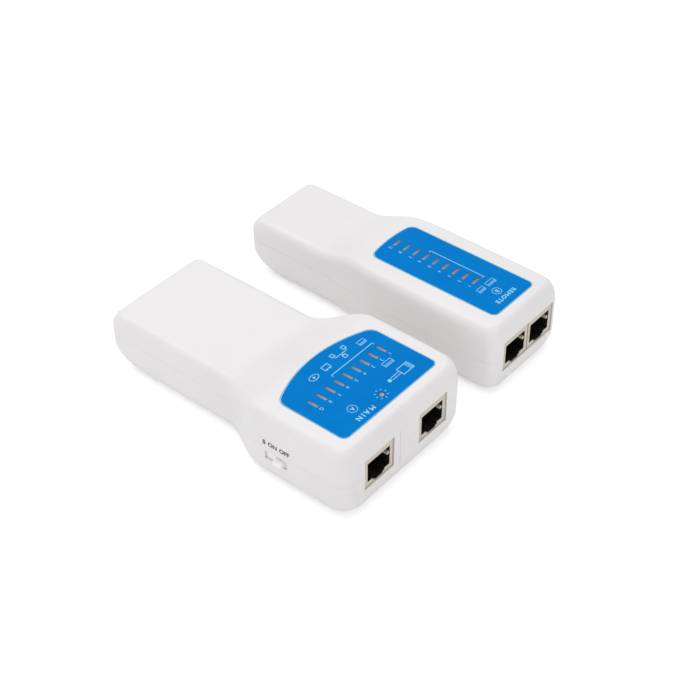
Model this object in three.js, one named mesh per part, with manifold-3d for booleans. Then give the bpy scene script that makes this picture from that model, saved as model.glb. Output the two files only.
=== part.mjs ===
// Network cable tester: a main unit and a remote unit lying side by side on a table.
//
// Millimetres, +Z up, table at z = 0. The origin is the centre of the main unit's underside. The
// socket faces look towards -Y, the handles point towards +Y, the power switch is on the main
// unit's -X side and the remote unit lies on its +X side.
//
// Each case is one smooth body, lofted from rounded outlines, hollowed and parted at a seam
// at mid height. Boards, sockets, lights and battery sit inside it.

import * as THREE from "three";
import { mergeVertices } from "three/addons/utils/BufferGeometryUtils.js";
import Module from "manifold-3d";

const wasm = await Module();
wasm.setup();

// ---- Driving dimensions -------------------------------------------------------------------

const FRONT_Y = -59.8; // socket face of the main unit
const BUTT_Y = 60.2; // butt end; both units are equally long
const HEAD_TOP = 30.5; // top of the head above the table
const HANDLE_TOP = 24.9;
const WALL = 2;
const SEAM_Z = 15.5; // the two covers meet here
const SEAM_GAP = 0.24;
const REMOTE_X = 70.4; // where the remote unit lies
const REMOTE_Y = -0.6;

// Rounding of the case edges: how far each edge pulls in, and over what height.
const TOP_ROUND = { inset: 3.5, height: 4.5, frontHeight: 8.4, buttHeight: 5.6 };
const BOTTOM_ROUND = {
  side: { inset: 6, height: 8.5 },
  front: { inset: 3.9, height: 9.1 },
  butt: { inset: 14, height: 12.2 },
};
const ROUND_BLEND = 10; // distance over which the front and butt roundings take over
const BUTT_CORNER = 3;

// Corners of the outline grow rounder towards the underside and keep their radius at the top.
const BOTTOM_CORNER_GROWTH = 0.9;
const TOP_CORNER_GROWTH = -0.14;

// Outline of each unit, y measured from the socket face.
const MAIN = {
  headHalf: 32.7,
  handleHalf: 23.5,
  waist: [39.3, 63.7],
  slope: [41, 61.5],
  corner: 6,
  label: { half: 25.2, front: 6.4, side: 36, peak: 41.7, rearRadius: 3.6 },
  screws: { head: [24, -39], handle: [17.5, 42] },
};
const REMOTE = {
  headHalf: 21,
  handleHalf: 18,
  waist: [54.4, 82],
  slope: [64, 86],
  corner: 4.5,
  label: { half: 12.4, front: 6.2, side: 62.3, peak: 64.5, rearRadius: 2 },
  screws: { head: [12.3, -37.5], handle: [9.3, 40] },
};

const LABEL_THICK = 0.35;
const LABEL_FRONT_RADIUS = 2.5;
const LABEL_FIT = 0.15; // gap all round the label, and under it
const LABEL_GLUE = 0.05;

// Circuit board
const BOARD_TOP = 9.5;
const BOARD_THICK = 1.6;
const BOARD_FRONT_Y = -57;
const STAND_RADIUS = 2; // of the pillars that the boards rest on

// Parts on the main board, heights above it
const CHIP = { pitch: 2.54, half: 3.2, bottom: 0.6, top: 3.9, leg: 0.4, legReach: 4, legTop: 2.2 };
const CAPACITOR = { radius: 3.15, bottom: 0.4, top: 11.4, bungRadius: 2.2, bungTop: 1 };

// 8-way modular socket, latch side down
const JACK_WIDTH = 15.3;
const JACK_HEIGHT = 12.9;
const JACK_DEPTH = 16;
const JACK_RECESS = 0.4; // the socket face lies this far behind the case
const JACK_FIT = 0.2;
const PORT_DEPTH = 12.4;
// Half widths and heights above the socket's underside
const PORT = { chamber: [5.95, 10.3], step: [3.2, 1.8], latch: [2.2, 0.9], floor: 0.3 };
const MAIN_JACK_X = 14.7;
const REMOTE_JACK_X = JACK_WIDTH / 2 + 0.02;
const REMOTE_JACK_SHIFT = 1;
const CONTACT = { count: 8, pitch: 1.02, width: 0.45, thick: 0.4, long: 8, tilt: -0.4 };
const CARRIER_HALF = 5.6; // of the block that holds the contacts

// Indicator lights
const LIGHT_COUNT = 9;
const LIGHT_SIZE = [1.2, 4.4]; // across, along
const LIGHT_TOP = 30.4;
const LIGHT_TALL = 7;
const LIGHT_FIT = 0.1;
const MAIN_LIGHT_PITCH = 4.6;
const MAIN_LIGHT_ROW = { first: 18.5, y: -33.7 };
const REMOTE_LIGHT_PITCH = 4.6;
const REMOTE_LIGHT_ROW = { first: -35.9, x: 0.1 };
const POWER_LIGHT = { x: 0.1, y: -48.4, radius: 1.2, top: 30.9 };

// Power switch on the main unit's -X side
const SWITCH_SLOT = { y: [-34.2, -24], z: [10.2, 13.8] };
const SWITCH_KNOB = { y: [-32.9, -28.9], z: [10.9, 13] };
const SWITCH_PROUD = 1.7;
const SWITCH_CAN = { x: [-29.3, -25], half: 6.4, tall: 4.9 };
const DUST_PLATE = { x: [-32, -31.4], y: [-38.3, -23.7], z: [9.8, 14.2] };
const PLATE_POCKET = { x: [-32.2, -29], y: [-39, -19], z: [9.6, 14.4] };

// 9 V battery and its door
const BATTERY = { width: 26.5, height: 17.5, length: 48, bottom: 3.3, frontY: -0.5 };
const DOOR_HALF = 13.8;
const DOOR_FRONT_Y = 6;
const DOOR_TOP = 9;
const DOOR_FIT = 0.25;
const RAIL = { reach: 0.9, z: [0.8, 1.5], y: [7, 44] };
const RAIL_FIT = 0.2;
const TONGUE = { half: 5, reach: 2.5, top: 3 };
const GRIP = { count: 5, pitch: 2, width: 0.9, depth: 0.5, half: 6, setback: 6 };
const BAY_WALL = { half: 22, y: [-8, -6.8], z: [1, 13], notchHalf: 9, notchZ: 8 };
const TERMINAL_REACH = 3;
const SNAP = { half: 12.5, halfTall: 6.2, thick: 3.8, gap: 0.2 };
const LEAD_RADIUS = 0.6;

// Case screws
const SCREW = { head: 2.1, headThick: 1.5, shank: 1.2, length: 11 };
const CROSS = { long: 1.2, thin: 0.25, depth: 0.7 };
const SCREW_FIT = 0.25;
const SEAT_Z = 1.9; // the shoulder in the counterbore that a screw head pulls against
const BOSS = { radius: 2.6, top: 6 };

// ---- Materials ----------------------------------------------------------------------------

function finish(color, roughness, metalness = 0) {
  return new THREE.MeshStandardMaterial({ color, roughness, metalness });
}

const WHITE_PLASTIC = finish(0xeceaea, 0.35);
const BLUE_PRINT = finish(0x0482d4, 0.4);
const IVORY_PLASTIC = finish(0xcfc6b0, 0.45);
const GOLD = finish(0xc9a24a, 0.25, 1);
const BOARD_GREEN = finish(0x1f6b3a, 0.5);
const BLACK_PLASTIC = finish(0x1c1c1e, 0.5);
const LIGHT_PLASTIC = finish(0x9aa3ab, 0.3);
const STEEL = finish(0xb4b6b8, 0.3, 1);
const SLEEVE_BLUE = finish(0x23406e, 0.4);
const BATTERY_JACKET = finish(0x2b3038, 0.4);
const RED_WIRE = finish(0xb02020, 0.4);

// ---- Solids -------------------------------------------------------------------------------

const FAR = 90; // beyond every part of either unit

// A closed geometry as a manifold solid, for cutting and joining.
function solid(geometry) {
  const plain = geometry.clone();
  plain.deleteAttribute("normal");
  plain.deleteAttribute("uv");
  const merged = mergeVertices(plain, 1e-4);
  return new wasm.Manifold(
    new wasm.Mesh({
      numProp: 3,
      vertProperties: merged.attributes.position.array,
      triVerts: new Uint32Array(merged.index.array),
    }),
  );
}

function geometryOf(manifold) {
  const mesh = manifold.getMesh();
  const geometry = new THREE.BufferGeometry();
  geometry.setAttribute("position", new THREE.BufferAttribute(mesh.vertProperties, 3));
  geometry.setIndex(new THREE.BufferAttribute(mesh.triVerts, 1));
  geometry.computeVertexNormals();
  return geometry;
}

function box([x0, x1], [y0, y1], [z0, z1]) {
  const geometry = new THREE.BoxGeometry(x1 - x0, y1 - y0, z1 - z0);
  geometry.translate((x0 + x1) / 2, (y0 + y1) / 2, (z0 + z1) / 2);
  return solid(geometry);
}

// An upright round post.
function post(x, y, [z0, z1], radius, segments = 12) {
  const geometry = new THREE.CylinderGeometry(radius, radius, z1 - z0, segments);
  geometry.rotateX(Math.PI / 2);
  geometry.translate(x, y, (z0 + z1) / 2);
  return solid(geometry);
}

// A profile of [radius, z] points turned about the upright axis through x, y.
function turned(profile, x, y, segments) {
  const points = profile.map(([r, z]) => new THREE.Vector2(r, z));
  const geometry = new THREE.LatheGeometry(points, segments);
  geometry.rotateX(Math.PI / 2);
  geometry.translate(x, y, 0);
  return solid(geometry);
}

// A flat shape in X and Y, raised from z0 to z1.
function prism(shape, [z0, z1], curveSegments = 6) {
  const geometry = new THREE.ExtrudeGeometry(shape, {
    depth: z1 - z0,
    bevelEnabled: false,
    curveSegments,
  });
  geometry.translate(0, 0, z0);
  return solid(geometry);
}

// A flat shape in X and Z, run from y0 to y1.
function prismAlongY(shape, [y0, y1], curveSegments = 6) {
  const geometry = new THREE.ExtrudeGeometry(shape, {
    depth: y1 - y0,
    bevelEnabled: false,
    curveSegments,
  });
  geometry.rotateX(Math.PI / 2);
  geometry.translate(0, y1, 0);
  return solid(geometry);
}

function polygon(points) {
  return new THREE.Shape(points.map(([a, b]) => new THREE.Vector2(a, b)));
}

// The two places mirrored about x = 0.
function mirrored([x, y]) {
  return [
    [-x, y],
    [x, y],
  ];
}

function joinAll(solids) {
  return solids.reduce((whole, part) => whole.add(part));
}

function cutAll(body, solids) {
  return solids.reduce((whole, part) => whole.subtract(part), body);
}

// ---- The case body ------------------------------------------------------------------------

function smooth(t) {
  const u = THREE.MathUtils.clamp(t, 0, 1);
  return u * u * (3 - 2 * u);
}

// Height of the case's top: flat over the head, a smooth step down to the handle.
function topHeight(unit, y) {
  const t = (y - FRONT_Y - unit.slope[0]) / (unit.slope[1] - unit.slope[0]);
  return HEAD_TOP + (HANDLE_TOP - HEAD_TOP) * smooth(t);
}

// How much the front and the butt roundings count at y.
function endWeights(y) {
  const front = Math.exp(-(((y - FRONT_Y) / ROUND_BLEND) ** 2));
  const butt = Math.exp(-(((BUTT_Y - y) / ROUND_BLEND) ** 2));
  return { front, butt };
}

function arc(cx, cy, radius, fromDegrees, toDegrees, steps) {
  const points = [];
  for (let i = 0; i <= steps; i++) {
    const a = THREE.MathUtils.degToRad(fromDegrees + ((toDegrees - fromDegrees) * i) / steps);
    points.push([cx + radius * Math.cos(a), cy + radius * Math.sin(a)]);
  }
  return points;
}

// The +X half of the outline at one level, from the front corner to the butt corner. inset is
// the distance inside the outer surface, and pull is how far each edge's rounding draws it in.
function halfOutline(unit, inset, pull = { side: 0, front: 0, butt: 0 }, cornerGrowth = 0) {
  const headX = unit.headHalf - inset - pull.side;
  const handleX = unit.handleHalf - inset - pull.side;
  const frontY = FRONT_Y + inset + pull.front;
  const buttY = BUTT_Y - inset - pull.butt;
  const frontRadius = unit.corner - 0.8 * inset + cornerGrowth * Math.min(pull.side, pull.front);
  const buttRadius = BUTT_CORNER - 0.8 * inset + cornerGrowth * Math.min(pull.side, pull.butt);
  const first = FRONT_Y + Math.min(unit.waist[0], unit.slope[0]);
  const last = FRONT_Y + Math.max(unit.waist[1], unit.slope[1]);
  const [waistStart, waistEnd] = unit.waist.map((y) => FRONT_Y + y);
  const waistSteps = 10;
  const waistPoints = [];
  for (let i = 0; i <= waistSteps; i++) {
    const y = first + ((last - first) * i) / waistSteps;
    const x = headX + (handleX - headX) * smooth((y - waistStart) / (waistEnd - waistStart));
    waistPoints.push([x, y]);
  }
  return [
    ...arc(headX - frontRadius, frontY + frontRadius, frontRadius, -90, 0, 4),
    ...waistPoints,
    ...arc(handleX - buttRadius, buttY - buttRadius, buttRadius, 0, 90, 3),
  ];
}

// The levels of the case from the underside to the top. inset pulls every face in, for the hollow.
function caseLevels(unit, inset, bottomSteps, topSteps) {
  const levels = [];
  const { side, front, butt } = BOTTOM_ROUND;
  for (let i = 0; i <= bottomSteps; i++) {
    const a = ((Math.PI / 2) * i) / bottomSteps;
    const share = 1 - Math.sin(a);
    const pull = { side: side.inset * share, front: front.inset * share, butt: butt.inset * share };
    const outline = halfOutline(unit, inset, pull, BOTTOM_CORNER_GROWTH);
    levels.push(
      outline.map(([x, y]) => {
        const w = endWeights(y);
        const rise = side.height * (1 - w.front - w.butt) + front.height * w.front;
        return [x, y, inset + (rise + butt.height * w.butt) * (1 - Math.cos(a))];
      }),
    );
  }
  for (let i = 0; i <= topSteps; i++) {
    const a = ((Math.PI / 2) * i) / topSteps;
    const reach = TOP_ROUND.inset * (1 - Math.cos(a));
    const pull = { side: reach, front: reach, butt: reach };
    const outline = halfOutline(unit, inset, pull, TOP_CORNER_GROWTH);
    levels.push(
      outline.map(([x, y]) => {
        const w = endWeights(y);
        const ends = TOP_ROUND.frontHeight * w.front + TOP_ROUND.buttHeight * w.butt;
        const rise = TOP_ROUND.height * (1 - w.front - w.butt) + ends;
        return [x, y, topHeight(unit, y) - inset - rise * (1 - Math.sin(a))];
      }),
    );
  }
  return levels;
}

// The whole case as one closed body.
function caseBody(unit, inset, bottomSteps = 4, topSteps = 3) {
  const halves = caseLevels(unit, inset, bottomSteps, topSteps);
  const count = halves[0].length;
  const ring = 2 * count;
  const positions = [];
  for (const half of halves) {
    const left = [...half].reverse().map(([x, y, z]) => [-x, y, z]);
    for (const point of [...half, ...left]) positions.push(...point);
  }
  const faces = [];
  for (let level = 0; level < halves.length - 1; level++) {
    for (let i = 0; i < ring; i++) {
      const a = level * ring + i;
      const b = level * ring + ((i + 1) % ring);
      faces.push(a, b, b + ring, a, b + ring, a + ring);
    }
  }
  // The underside and the top are strips between mirrored points.
  const topStart = (halves.length - 1) * ring;
  for (let i = 0; i < count - 1; i++) {
    const opposite = ring - 1 - i;
    faces.push(i + 1, i, opposite, i + 1, opposite, opposite - 1);
    const [a, b] = [topStart + i, topStart + i + 1];
    const [c, d] = [topStart + opposite - 1, topStart + opposite];
    faces.push(a, b, c, a, c, d);
  }
  const geometry = new THREE.BufferGeometry();
  geometry.setAttribute("position", new THREE.Float32BufferAttribute(positions, 3));
  geometry.setIndex(faces);
  return solid(geometry);
}

// The outline just inside the wall at seam height, as a flat shape.
function innerOutline(unit, inset) {
  const half = halfOutline(unit, inset);
  return polygon([...half, ...[...half].reverse().map(([x, y]) => [-x, y])]);
}

// A standing lip on the bottom cover's rim, inside the top cover, that lines the two up.
function seamLip(unit, cuts) {
  const low = SEAM_Z - 1;
  const inner = prism(innerOutline(unit, WALL + 1.25), [low, SEAM_Z + 1.2]);
  const root = prism(innerOutline(unit, WALL - 0.5), [low, SEAM_Z - 0.4]);
  const lip = prism(innerOutline(unit, WALL + 0.25), [low, SEAM_Z + 1.2]);
  return cutAll(root.add(lip).subtract(inner), cuts);
}

// ---- Labels -------------------------------------------------------------------------------

// A panel with a straight front edge and a gently arched rear edge. grow widens it all round.
function labelShape({ half, front, side, peak, rearRadius }, grow) {
  const x = half + grow;
  const frontY = FRONT_Y + front - grow;
  const sideY = FRONT_Y + side + grow;
  const peakY = FRONT_Y + peak + grow;
  const radius = LABEL_FRONT_RADIUS + grow;
  const shoulder = sideY + 0.4;
  const shape = new THREE.Shape();
  shape.moveTo(radius - x, frontY);
  shape.lineTo(x - radius, frontY);
  shape.absarc(x - radius, frontY + radius, radius, -Math.PI / 2, 0, false);
  shape.lineTo(x, sideY - rearRadius);
  shape.quadraticCurveTo(x, sideY, x - rearRadius, shoulder + 0.8);
  shape.quadraticCurveTo(0, 2 * peakY - shoulder - 0.8, rearRadius - x, shoulder + 0.8);
  shape.quadraticCurveTo(-x, sideY, -x, sideY - rearRadius);
  shape.lineTo(-x, frontY + radius);
  shape.absarc(radius - x, frontY + radius, radius, Math.PI, 1.5 * Math.PI, false);
  return shape;
}

function labelRecess(unit) {
  const floor = HEAD_TOP - LABEL_THICK - LABEL_GLUE;
  return prism(labelShape(unit.label, LABEL_FIT), [floor, FAR]);
}

function label(unit, openings) {
  const plate = prism(labelShape(unit.label, 0), [HEAD_TOP - LABEL_THICK, HEAD_TOP]);
  return cutAll(plate, openings);
}

// ---- Lights -------------------------------------------------------------------------------

const LIGHT_BASE_Z = LIGHT_TOP - LIGHT_TALL;

// Centres of the nine flat lights. along is the direction of each light's long side.
function mainLights() {
  const places = [];
  for (let i = 0; i < LIGHT_COUNT; i++) {
    const x = MAIN_LIGHT_ROW.first - i * MAIN_LIGHT_PITCH;
    places.push({ x, y: MAIN_LIGHT_ROW.y, along: "y" });
  }
  return places;
}

function remoteLights() {
  const places = [];
  for (let i = 0; i < LIGHT_COUNT; i++) {
    const y = REMOTE_LIGHT_ROW.first + i * REMOTE_LIGHT_PITCH;
    places.push({ x: REMOTE_LIGHT_ROW.x, y, along: "x" });
  }
  return places;
}

// A block on a light's footprint, grown by grow on every side.
function lightBlock({ x, y, along }, grow, span) {
  const [across, long] = LIGHT_SIZE.map((size) => size / 2 + grow);
  const [hx, hy] = along === "y" ? [across, long] : [long, across];
  return box([x - hx, x + hx], [y - hy, y + hy], span);
}

// Two legs from inside the light down to the board.
function lightLegs({ x, y, along }) {
  const spacing = 1.27;
  const half = 0.25;
  const top = LIGHT_BASE_Z + 0.4;
  return [-spacing, spacing].map((offset) => {
    const [cx, cy] = along === "y" ? [x, y + offset] : [x + offset, y];
    return box([cx - half, cx + half], [cy - half, cy + half], [BOARD_TOP, top]);
  });
}

function flatLight(place) {
  const body = lightBlock(place, 0, [LIGHT_BASE_Z, LIGHT_TOP]);
  const flange = lightBlock(place, 0.4, [LIGHT_BASE_Z, LIGHT_BASE_Z + 0.8]);
  return joinAll([body, flange, ...lightLegs(place)]);
}

function lightOpenings(places) {
  return places.map((place) => lightBlock(place, LIGHT_FIT, [HEAD_TOP - 5, HEAD_TOP + 5]));
}

// A round light with a domed top and a collar.
function powerLight() {
  const { x, y, radius, top } = POWER_LIGHT;
  const collar = 0.5;
  const collarThick = 1;
  const profile = [
    [0, LIGHT_BASE_Z],
    [radius + collar, LIGHT_BASE_Z],
    [radius + collar, LIGHT_BASE_Z + collarThick],
    [radius, LIGHT_BASE_Z + collarThick],
    ...arc(0, top - radius, radius, 0, 67.5, 3),
    [0, top],
  ];
  return joinAll([turned(profile, x, y, 16), ...lightLegs({ x, y, along: "x" })]);
}

function powerLightOpening() {
  const { x, y, radius } = POWER_LIGHT;
  return post(x, y, [HEAD_TOP - 5, HEAD_TOP + 5], radius + LIGHT_FIT);
}

// ---- Sockets ------------------------------------------------------------------------------

const JACK_FACE_Y = FRONT_Y + JACK_RECESS;

// The port: a wide chamber for the plug, then two steps down to the latch slot.
function portShape(x) {
  const [chamber, ceiling] = PORT.chamber;
  const [step, chamberFloor] = PORT.step;
  const [latch, stepFloor] = PORT.latch;
  const half = [
    [latch, PORT.floor],
    [latch, stepFloor],
    [step, stepFloor],
    [step, chamberFloor],
    [chamber, chamberFloor],
    [chamber, ceiling],
  ];
  const left = [...half].reverse().map(([reach, z]) => [-reach, z]);
  return polygon([...half, ...left].map(([reach, z]) => [x + reach, BOARD_TOP + z]));
}

function jack(x) {
  const half = JACK_WIDTH / 2;
  const shell = box(
    [x - half, x + half],
    [JACK_FACE_Y, JACK_FACE_Y + JACK_DEPTH],
    [BOARD_TOP, BOARD_TOP + JACK_HEIGHT],
  );
  return shell.subtract(prismAlongY(portShape(x), [JACK_FACE_Y - 1, JACK_FACE_Y + PORT_DEPTH]));
}

// Eight sprung wires hanging from a carrier under the port's ceiling.
function contactInsert(x) {
  const ceiling = BOARD_TOP + PORT.chamber[1];
  const carrier = box(
    [x - CARRIER_HALF, x + CARRIER_HALF],
    [JACK_FACE_Y + 2.4, JACK_FACE_Y + PORT_DEPTH - 0.2],
    [ceiling - 0.9, ceiling - 0.1],
  );
  const wires = [];
  for (let i = 0; i < CONTACT.count; i++) {
    const cx = x + (i - (CONTACT.count - 1) / 2) * CONTACT.pitch;
    const wire = new THREE.BoxGeometry(CONTACT.width, CONTACT.long, CONTACT.thick);
    wire.rotateX(CONTACT.tilt);
    wire.translate(cx, JACK_FACE_Y + 6.6, ceiling - 2.2);
    wires.push(solid(wire));
  }
  return joinAll([carrier, ...wires]);
}

// The gap in the front wall, and in the lip behind it, that a socket stands in.
function jackWindow(x) {
  const half = JACK_WIDTH / 2 + JACK_FIT;
  return box(
    [x - half, x + half],
    [FRONT_Y - 2, JACK_FACE_Y + JACK_DEPTH],
    [BOARD_TOP - JACK_FIT, BOARD_TOP + JACK_HEIGHT + JACK_FIT],
  );
}

// ---- Circuit boards -----------------------------------------------------------------------

// A board that fills the hollow of the head from its front wall back to backY.
function board(unit, half, backY, cuts) {
  const slab = box([-half, half], [BOARD_FRONT_Y, backY], [BOARD_TOP - BOARD_THICK, BOARD_TOP]);
  return cutAll(slab.intersect(caseBody(unit, WALL + 0.4, 3, 2)), cuts);
}

// A dual in-line chip: a block on two rows of legs.
function chip(x, y, legsPerSide) {
  const half = (legsPerSide * CHIP.pitch) / 2;
  const tall = [BOARD_TOP + CHIP.bottom, BOARD_TOP + CHIP.top];
  const body = box([x - half, x + half], [y - CHIP.half, y + CHIP.half], tall);
  const legs = [];
  for (let i = 0; i < legsPerSide; i++) {
    const cx = x + (i - (legsPerSide - 1) / 2) * CHIP.pitch;
    const across = [cx - CHIP.leg, cx + CHIP.leg];
    for (const [near, far] of [[-CHIP.legReach, 0.2 - CHIP.half], [CHIP.half - 0.2, CHIP.legReach]]) {
      legs.push(box(across, [y + near, y + far], [BOARD_TOP, BOARD_TOP + CHIP.legTop]));
    }
  }
  return joinAll([body, ...legs]);
}

// ---- Screws and their bosses --------------------------------------------------------------

function screwPlaces(unit) {
  return [...mirrored(unit.screws.head), ...mirrored(unit.screws.handle)];
}

// A pan-head screw, driven up from below, with a cross recess.
function screw([x, y]) {
  const headZ = SEAT_Z - 0.05;
  const low = headZ - SCREW.headThick;
  const profile = [
    [0, low],
    [SCREW.head * 0.7, low],
    [SCREW.head, low + 0.6],
    [SCREW.head, headZ],
    [SCREW.shank, headZ],
    [SCREW.shank, headZ + SCREW.length - 1.5],
    [0, headZ + SCREW.length],
  ];
  const { long, thin, depth } = CROSS;
  const span = [low - 1, low + depth];
  const cross = [
    box([x - long, x + long], [y - thin, y + thin], span),
    box([x - thin, x + thin], [y - long, y + long], span),
  ];
  return cutAll(turned(profile, x, y, 12), cross);
}

// Boss on the bottom cover, with the head's counterbore and the shank's clearance hole.
function bottomBoss([x, y]) {
  return post(x, y, [1, BOSS.top], BOSS.radius);
}

function bottomBossHoles([x, y]) {
  return [
    post(x, y, [-1, SEAT_Z], SCREW.head + SCREW_FIT),
    post(x, y, [-1, BOSS.top + 1], SCREW.shank + SCREW_FIT),
  ];
}

// Post under the roof of the top cover that the screw bites into.
function topPost(unit, [x, y]) {
  const roof = topHeight(unit, y) - WALL;
  const whole = post(x, y, [BOSS.top + 0.2, roof + 1], BOSS.radius);
  const pilot = post(x, y, [BOSS.top - 1, SEAT_Z + SCREW.length + 1], SCREW.shank + 0.15);
  return whole.subtract(pilot);
}

function postClearances(unit, span) {
  return screwPlaces(unit).map(([x, y]) => post(x, y, span, BOSS.radius + 0.3));
}

// ---- Covers -------------------------------------------------------------------------------

function above(z) {
  return box([-FAR, FAR], [-FAR, FAR], [z, FAR]);
}

function below(z) {
  return box([-FAR, FAR], [-FAR, FAR], [-FAR, z]);
}

function shell(unit) {
  return caseBody(unit, 0).subtract(caseBody(unit, WALL, 3, 2));
}

function topCover(unit, jackXs, openings) {
  const half = shell(unit).intersect(above(SEAM_Z + SEAM_GAP / 2));
  const posts = screwPlaces(unit).map((place) => topPost(unit, place));
  const cuts = [...jackXs.map(jackWindow), labelRecess(unit), ...openings];
  return cutAll(joinAll([half, ...posts]), cuts);
}

function bottomCover(unit, jackXs, boardPosts) {
  const windows = jackXs.map(jackWindow);
  const half = shell(unit).intersect(below(SEAM_Z - SEAM_GAP / 2));
  const lip = seamLip(unit, [...windows, ...postClearances(unit, [0, SEAM_Z + 2])]);
  const bosses = screwPlaces(unit).map(bottomBoss);
  const standTall = [1, BOARD_TOP - BOARD_THICK];
  const stands = boardPosts.map(([x, y]) => post(x, y, standTall, STAND_RADIUS, 10));
  const holes = screwPlaces(unit).flatMap(bottomBossHoles);
  return cutAll(joinAll([half, lip, ...bosses, ...stands]), [...windows, ...holes]);
}

// ---- Main unit ----------------------------------------------------------------------------

const MAIN_JACKS = [-MAIN_JACK_X, MAIN_JACK_X];
const MAIN_BOARD_STANDS = [...mirrored([3.5, -54]), ...mirrored([20, -13])];
const DOOR_SPAN = [DOOR_FRONT_Y, BUTT_Y + 5];

// The battery bay's cross wall, with a notch for the two leads.
function bayWall() {
  const { half, y, z, notchHalf, notchZ } = BAY_WALL;
  const wall = box([-half, half], y, z);
  const notch = box([-notchHalf, notchHalf], [y[0] - 1, y[1] + 1], [notchZ, z[1] + 1]);
  return wall.subtract(notch).intersect(caseBody(MAIN, WALL / 2, 3, 2));
}

function doorRails(grow, [y0, y1]) {
  const reach = DOOR_HALF + RAIL.reach + grow;
  const [z0, z1] = RAIL.z;
  return box([-reach, reach], [y0, y1], [z0 - grow, z1 + grow]);
}

function mainBottomCover() {
  const slot = box([-MAIN.headHalf - 2, -MAIN.headHalf + 5], SWITCH_SLOT.y, SWITCH_SLOT.z);
  const half = DOOR_HALF + DOOR_FIT;
  const doorway = box([-half, half], DOOR_SPAN, [-1, DOOR_TOP + DOOR_FIT]);
  const pocket = box(PLATE_POCKET.x, PLATE_POCKET.y, PLATE_POCKET.z);
  const grooves = doorRails(RAIL_FIT, DOOR_SPAN);
  const cover = bottomCover(MAIN, MAIN_JACKS, MAIN_BOARD_STANDS).add(bayWall());
  return cutAll(cover, [slot, pocket, doorway, grooves]);
}

// The piece of shell under the handle, with side rails, a front tongue and a thumb grip.
function batteryDoor() {
  const front = DOOR_FRONT_Y + DOOR_FIT;
  const opening = box([-DOOR_HALF, DOOR_HALF], [front, DOOR_SPAN[1]], [-1, DOOR_TOP]);
  const rails = doorRails(0, RAIL.y);
  const { half, reach, top } = TONGUE;
  const rootEnd = DOOR_FRONT_Y + reach;
  const tongue = joinAll([
    box([-half, half], [DOOR_FRONT_Y + 2 * DOOR_FIT, rootEnd], [WALL / 2, top]),
    box([-half, half], [DOOR_FRONT_Y - reach, rootEnd], [WALL + 0.2, top]),
  ]);
  const grips = [];
  for (let i = 0; i < GRIP.count; i++) {
    const y = DOOR_FRONT_Y + GRIP.setback + i * GRIP.pitch;
    grips.push(box([-GRIP.half, GRIP.half], [y, y + GRIP.width], [-1, GRIP.depth]));
  }
  return cutAll(joinAll([shell(MAIN).intersect(opening), rails, tongue]), grips);
}

// The switch's metal can, open towards the slider's stem.
function switchBody() {
  const y = (SWITCH_SLOT.y[0] + SWITCH_SLOT.y[1]) / 2;
  const { x, half, tall } = SWITCH_CAN;
  const can = box(x, [y - half, y + half], [BOARD_TOP, BOARD_TOP + tall]);
  const mouth = box([x[0] - 1, x[1] - 2], STEM_PATH, [10.6, 13.4]);
  return can.subtract(mouth);
}

const STEM_INSET = 0.8; // from each end of the knob
const STEM_PATH = [SWITCH_KNOB.y[0] + STEM_INSET / 2, SWITCH_SLOT.y[1] - 1];

// Knob outside, dust plate behind the wall, stem into the switch body.
function switchSlider() {
  const [k0, k1] = SWITCH_KNOB.y;
  const inner = DUST_PLATE.x[1];
  const plate = box(DUST_PLATE.x, DUST_PLATE.y, DUST_PLATE.z);
  const knob = box([-MAIN.headHalf - SWITCH_PROUD, inner], SWITCH_KNOB.y, SWITCH_KNOB.z);
  const stem = box([inner - 0.1, -27.4], [k0 + STEM_INSET, k1 - STEM_INSET], [11, 12.9]);
  return joinAll([plate, knob, stem]);
}

// ---- Battery ------------------------------------------------------------------------------

const BATTERY_MID_Z = BATTERY.bottom + BATTERY.height / 2;
const TERMINALS = [
  { x: -6.3, radius: 2.8 },
  { x: 6.3, radius: 3.9 },
];

// A box with rounded long edges, lying along Y, with two studs on its front end.
function battery() {
  const { width, height, length, frontY } = BATTERY;
  const r = 2;
  const [hx, hz] = [width / 2 - r, height / 2 - r];
  const outline = [
    ...arc(hx, BATTERY_MID_Z - hz, r, -90, 0, 3),
    ...arc(hx, BATTERY_MID_Z + hz, r, 0, 90, 3),
    ...arc(-hx, BATTERY_MID_Z + hz, r, 90, 180, 3),
    ...arc(-hx, BATTERY_MID_Z - hz, r, 180, 270, 3),
  ];
  const block = prismAlongY(polygon(outline), [frontY, frontY + length]);
  const span = [frontY - TERMINAL_REACH, frontY + 1];
  return joinAll([block, ...TERMINALS.map(({ x, radius }) => lying(x, radius, span))]);
}

// A round stud along Y at the battery's mid height.
function lying(x, radius, [y0, y1]) {
  const geometry = new THREE.CylinderGeometry(radius, radius, y1 - y0, 14);
  geometry.translate(x, (y0 + y1) / 2, BATTERY_MID_Z);
  return solid(geometry);
}

const SNAP_Y = [BATTERY.frontY - SNAP.gap - SNAP.thick, BATTERY.frontY - SNAP.gap];

// The plate that clips onto the battery's two studs.
function batterySnap() {
  const tall = [BATTERY_MID_Z - SNAP.halfTall, BATTERY_MID_Z + SNAP.halfTall];
  const plate = box([-SNAP.half, SNAP.half], SNAP_Y, tall);
  const span = [BATTERY.frontY - TERMINAL_REACH - SNAP.gap, BATTERY.frontY + 1];
  const sockets = TERMINALS.map(({ x, radius }) => lying(x, radius + 0.3, span));
  return cutAll(plate, sockets);
}

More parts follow.
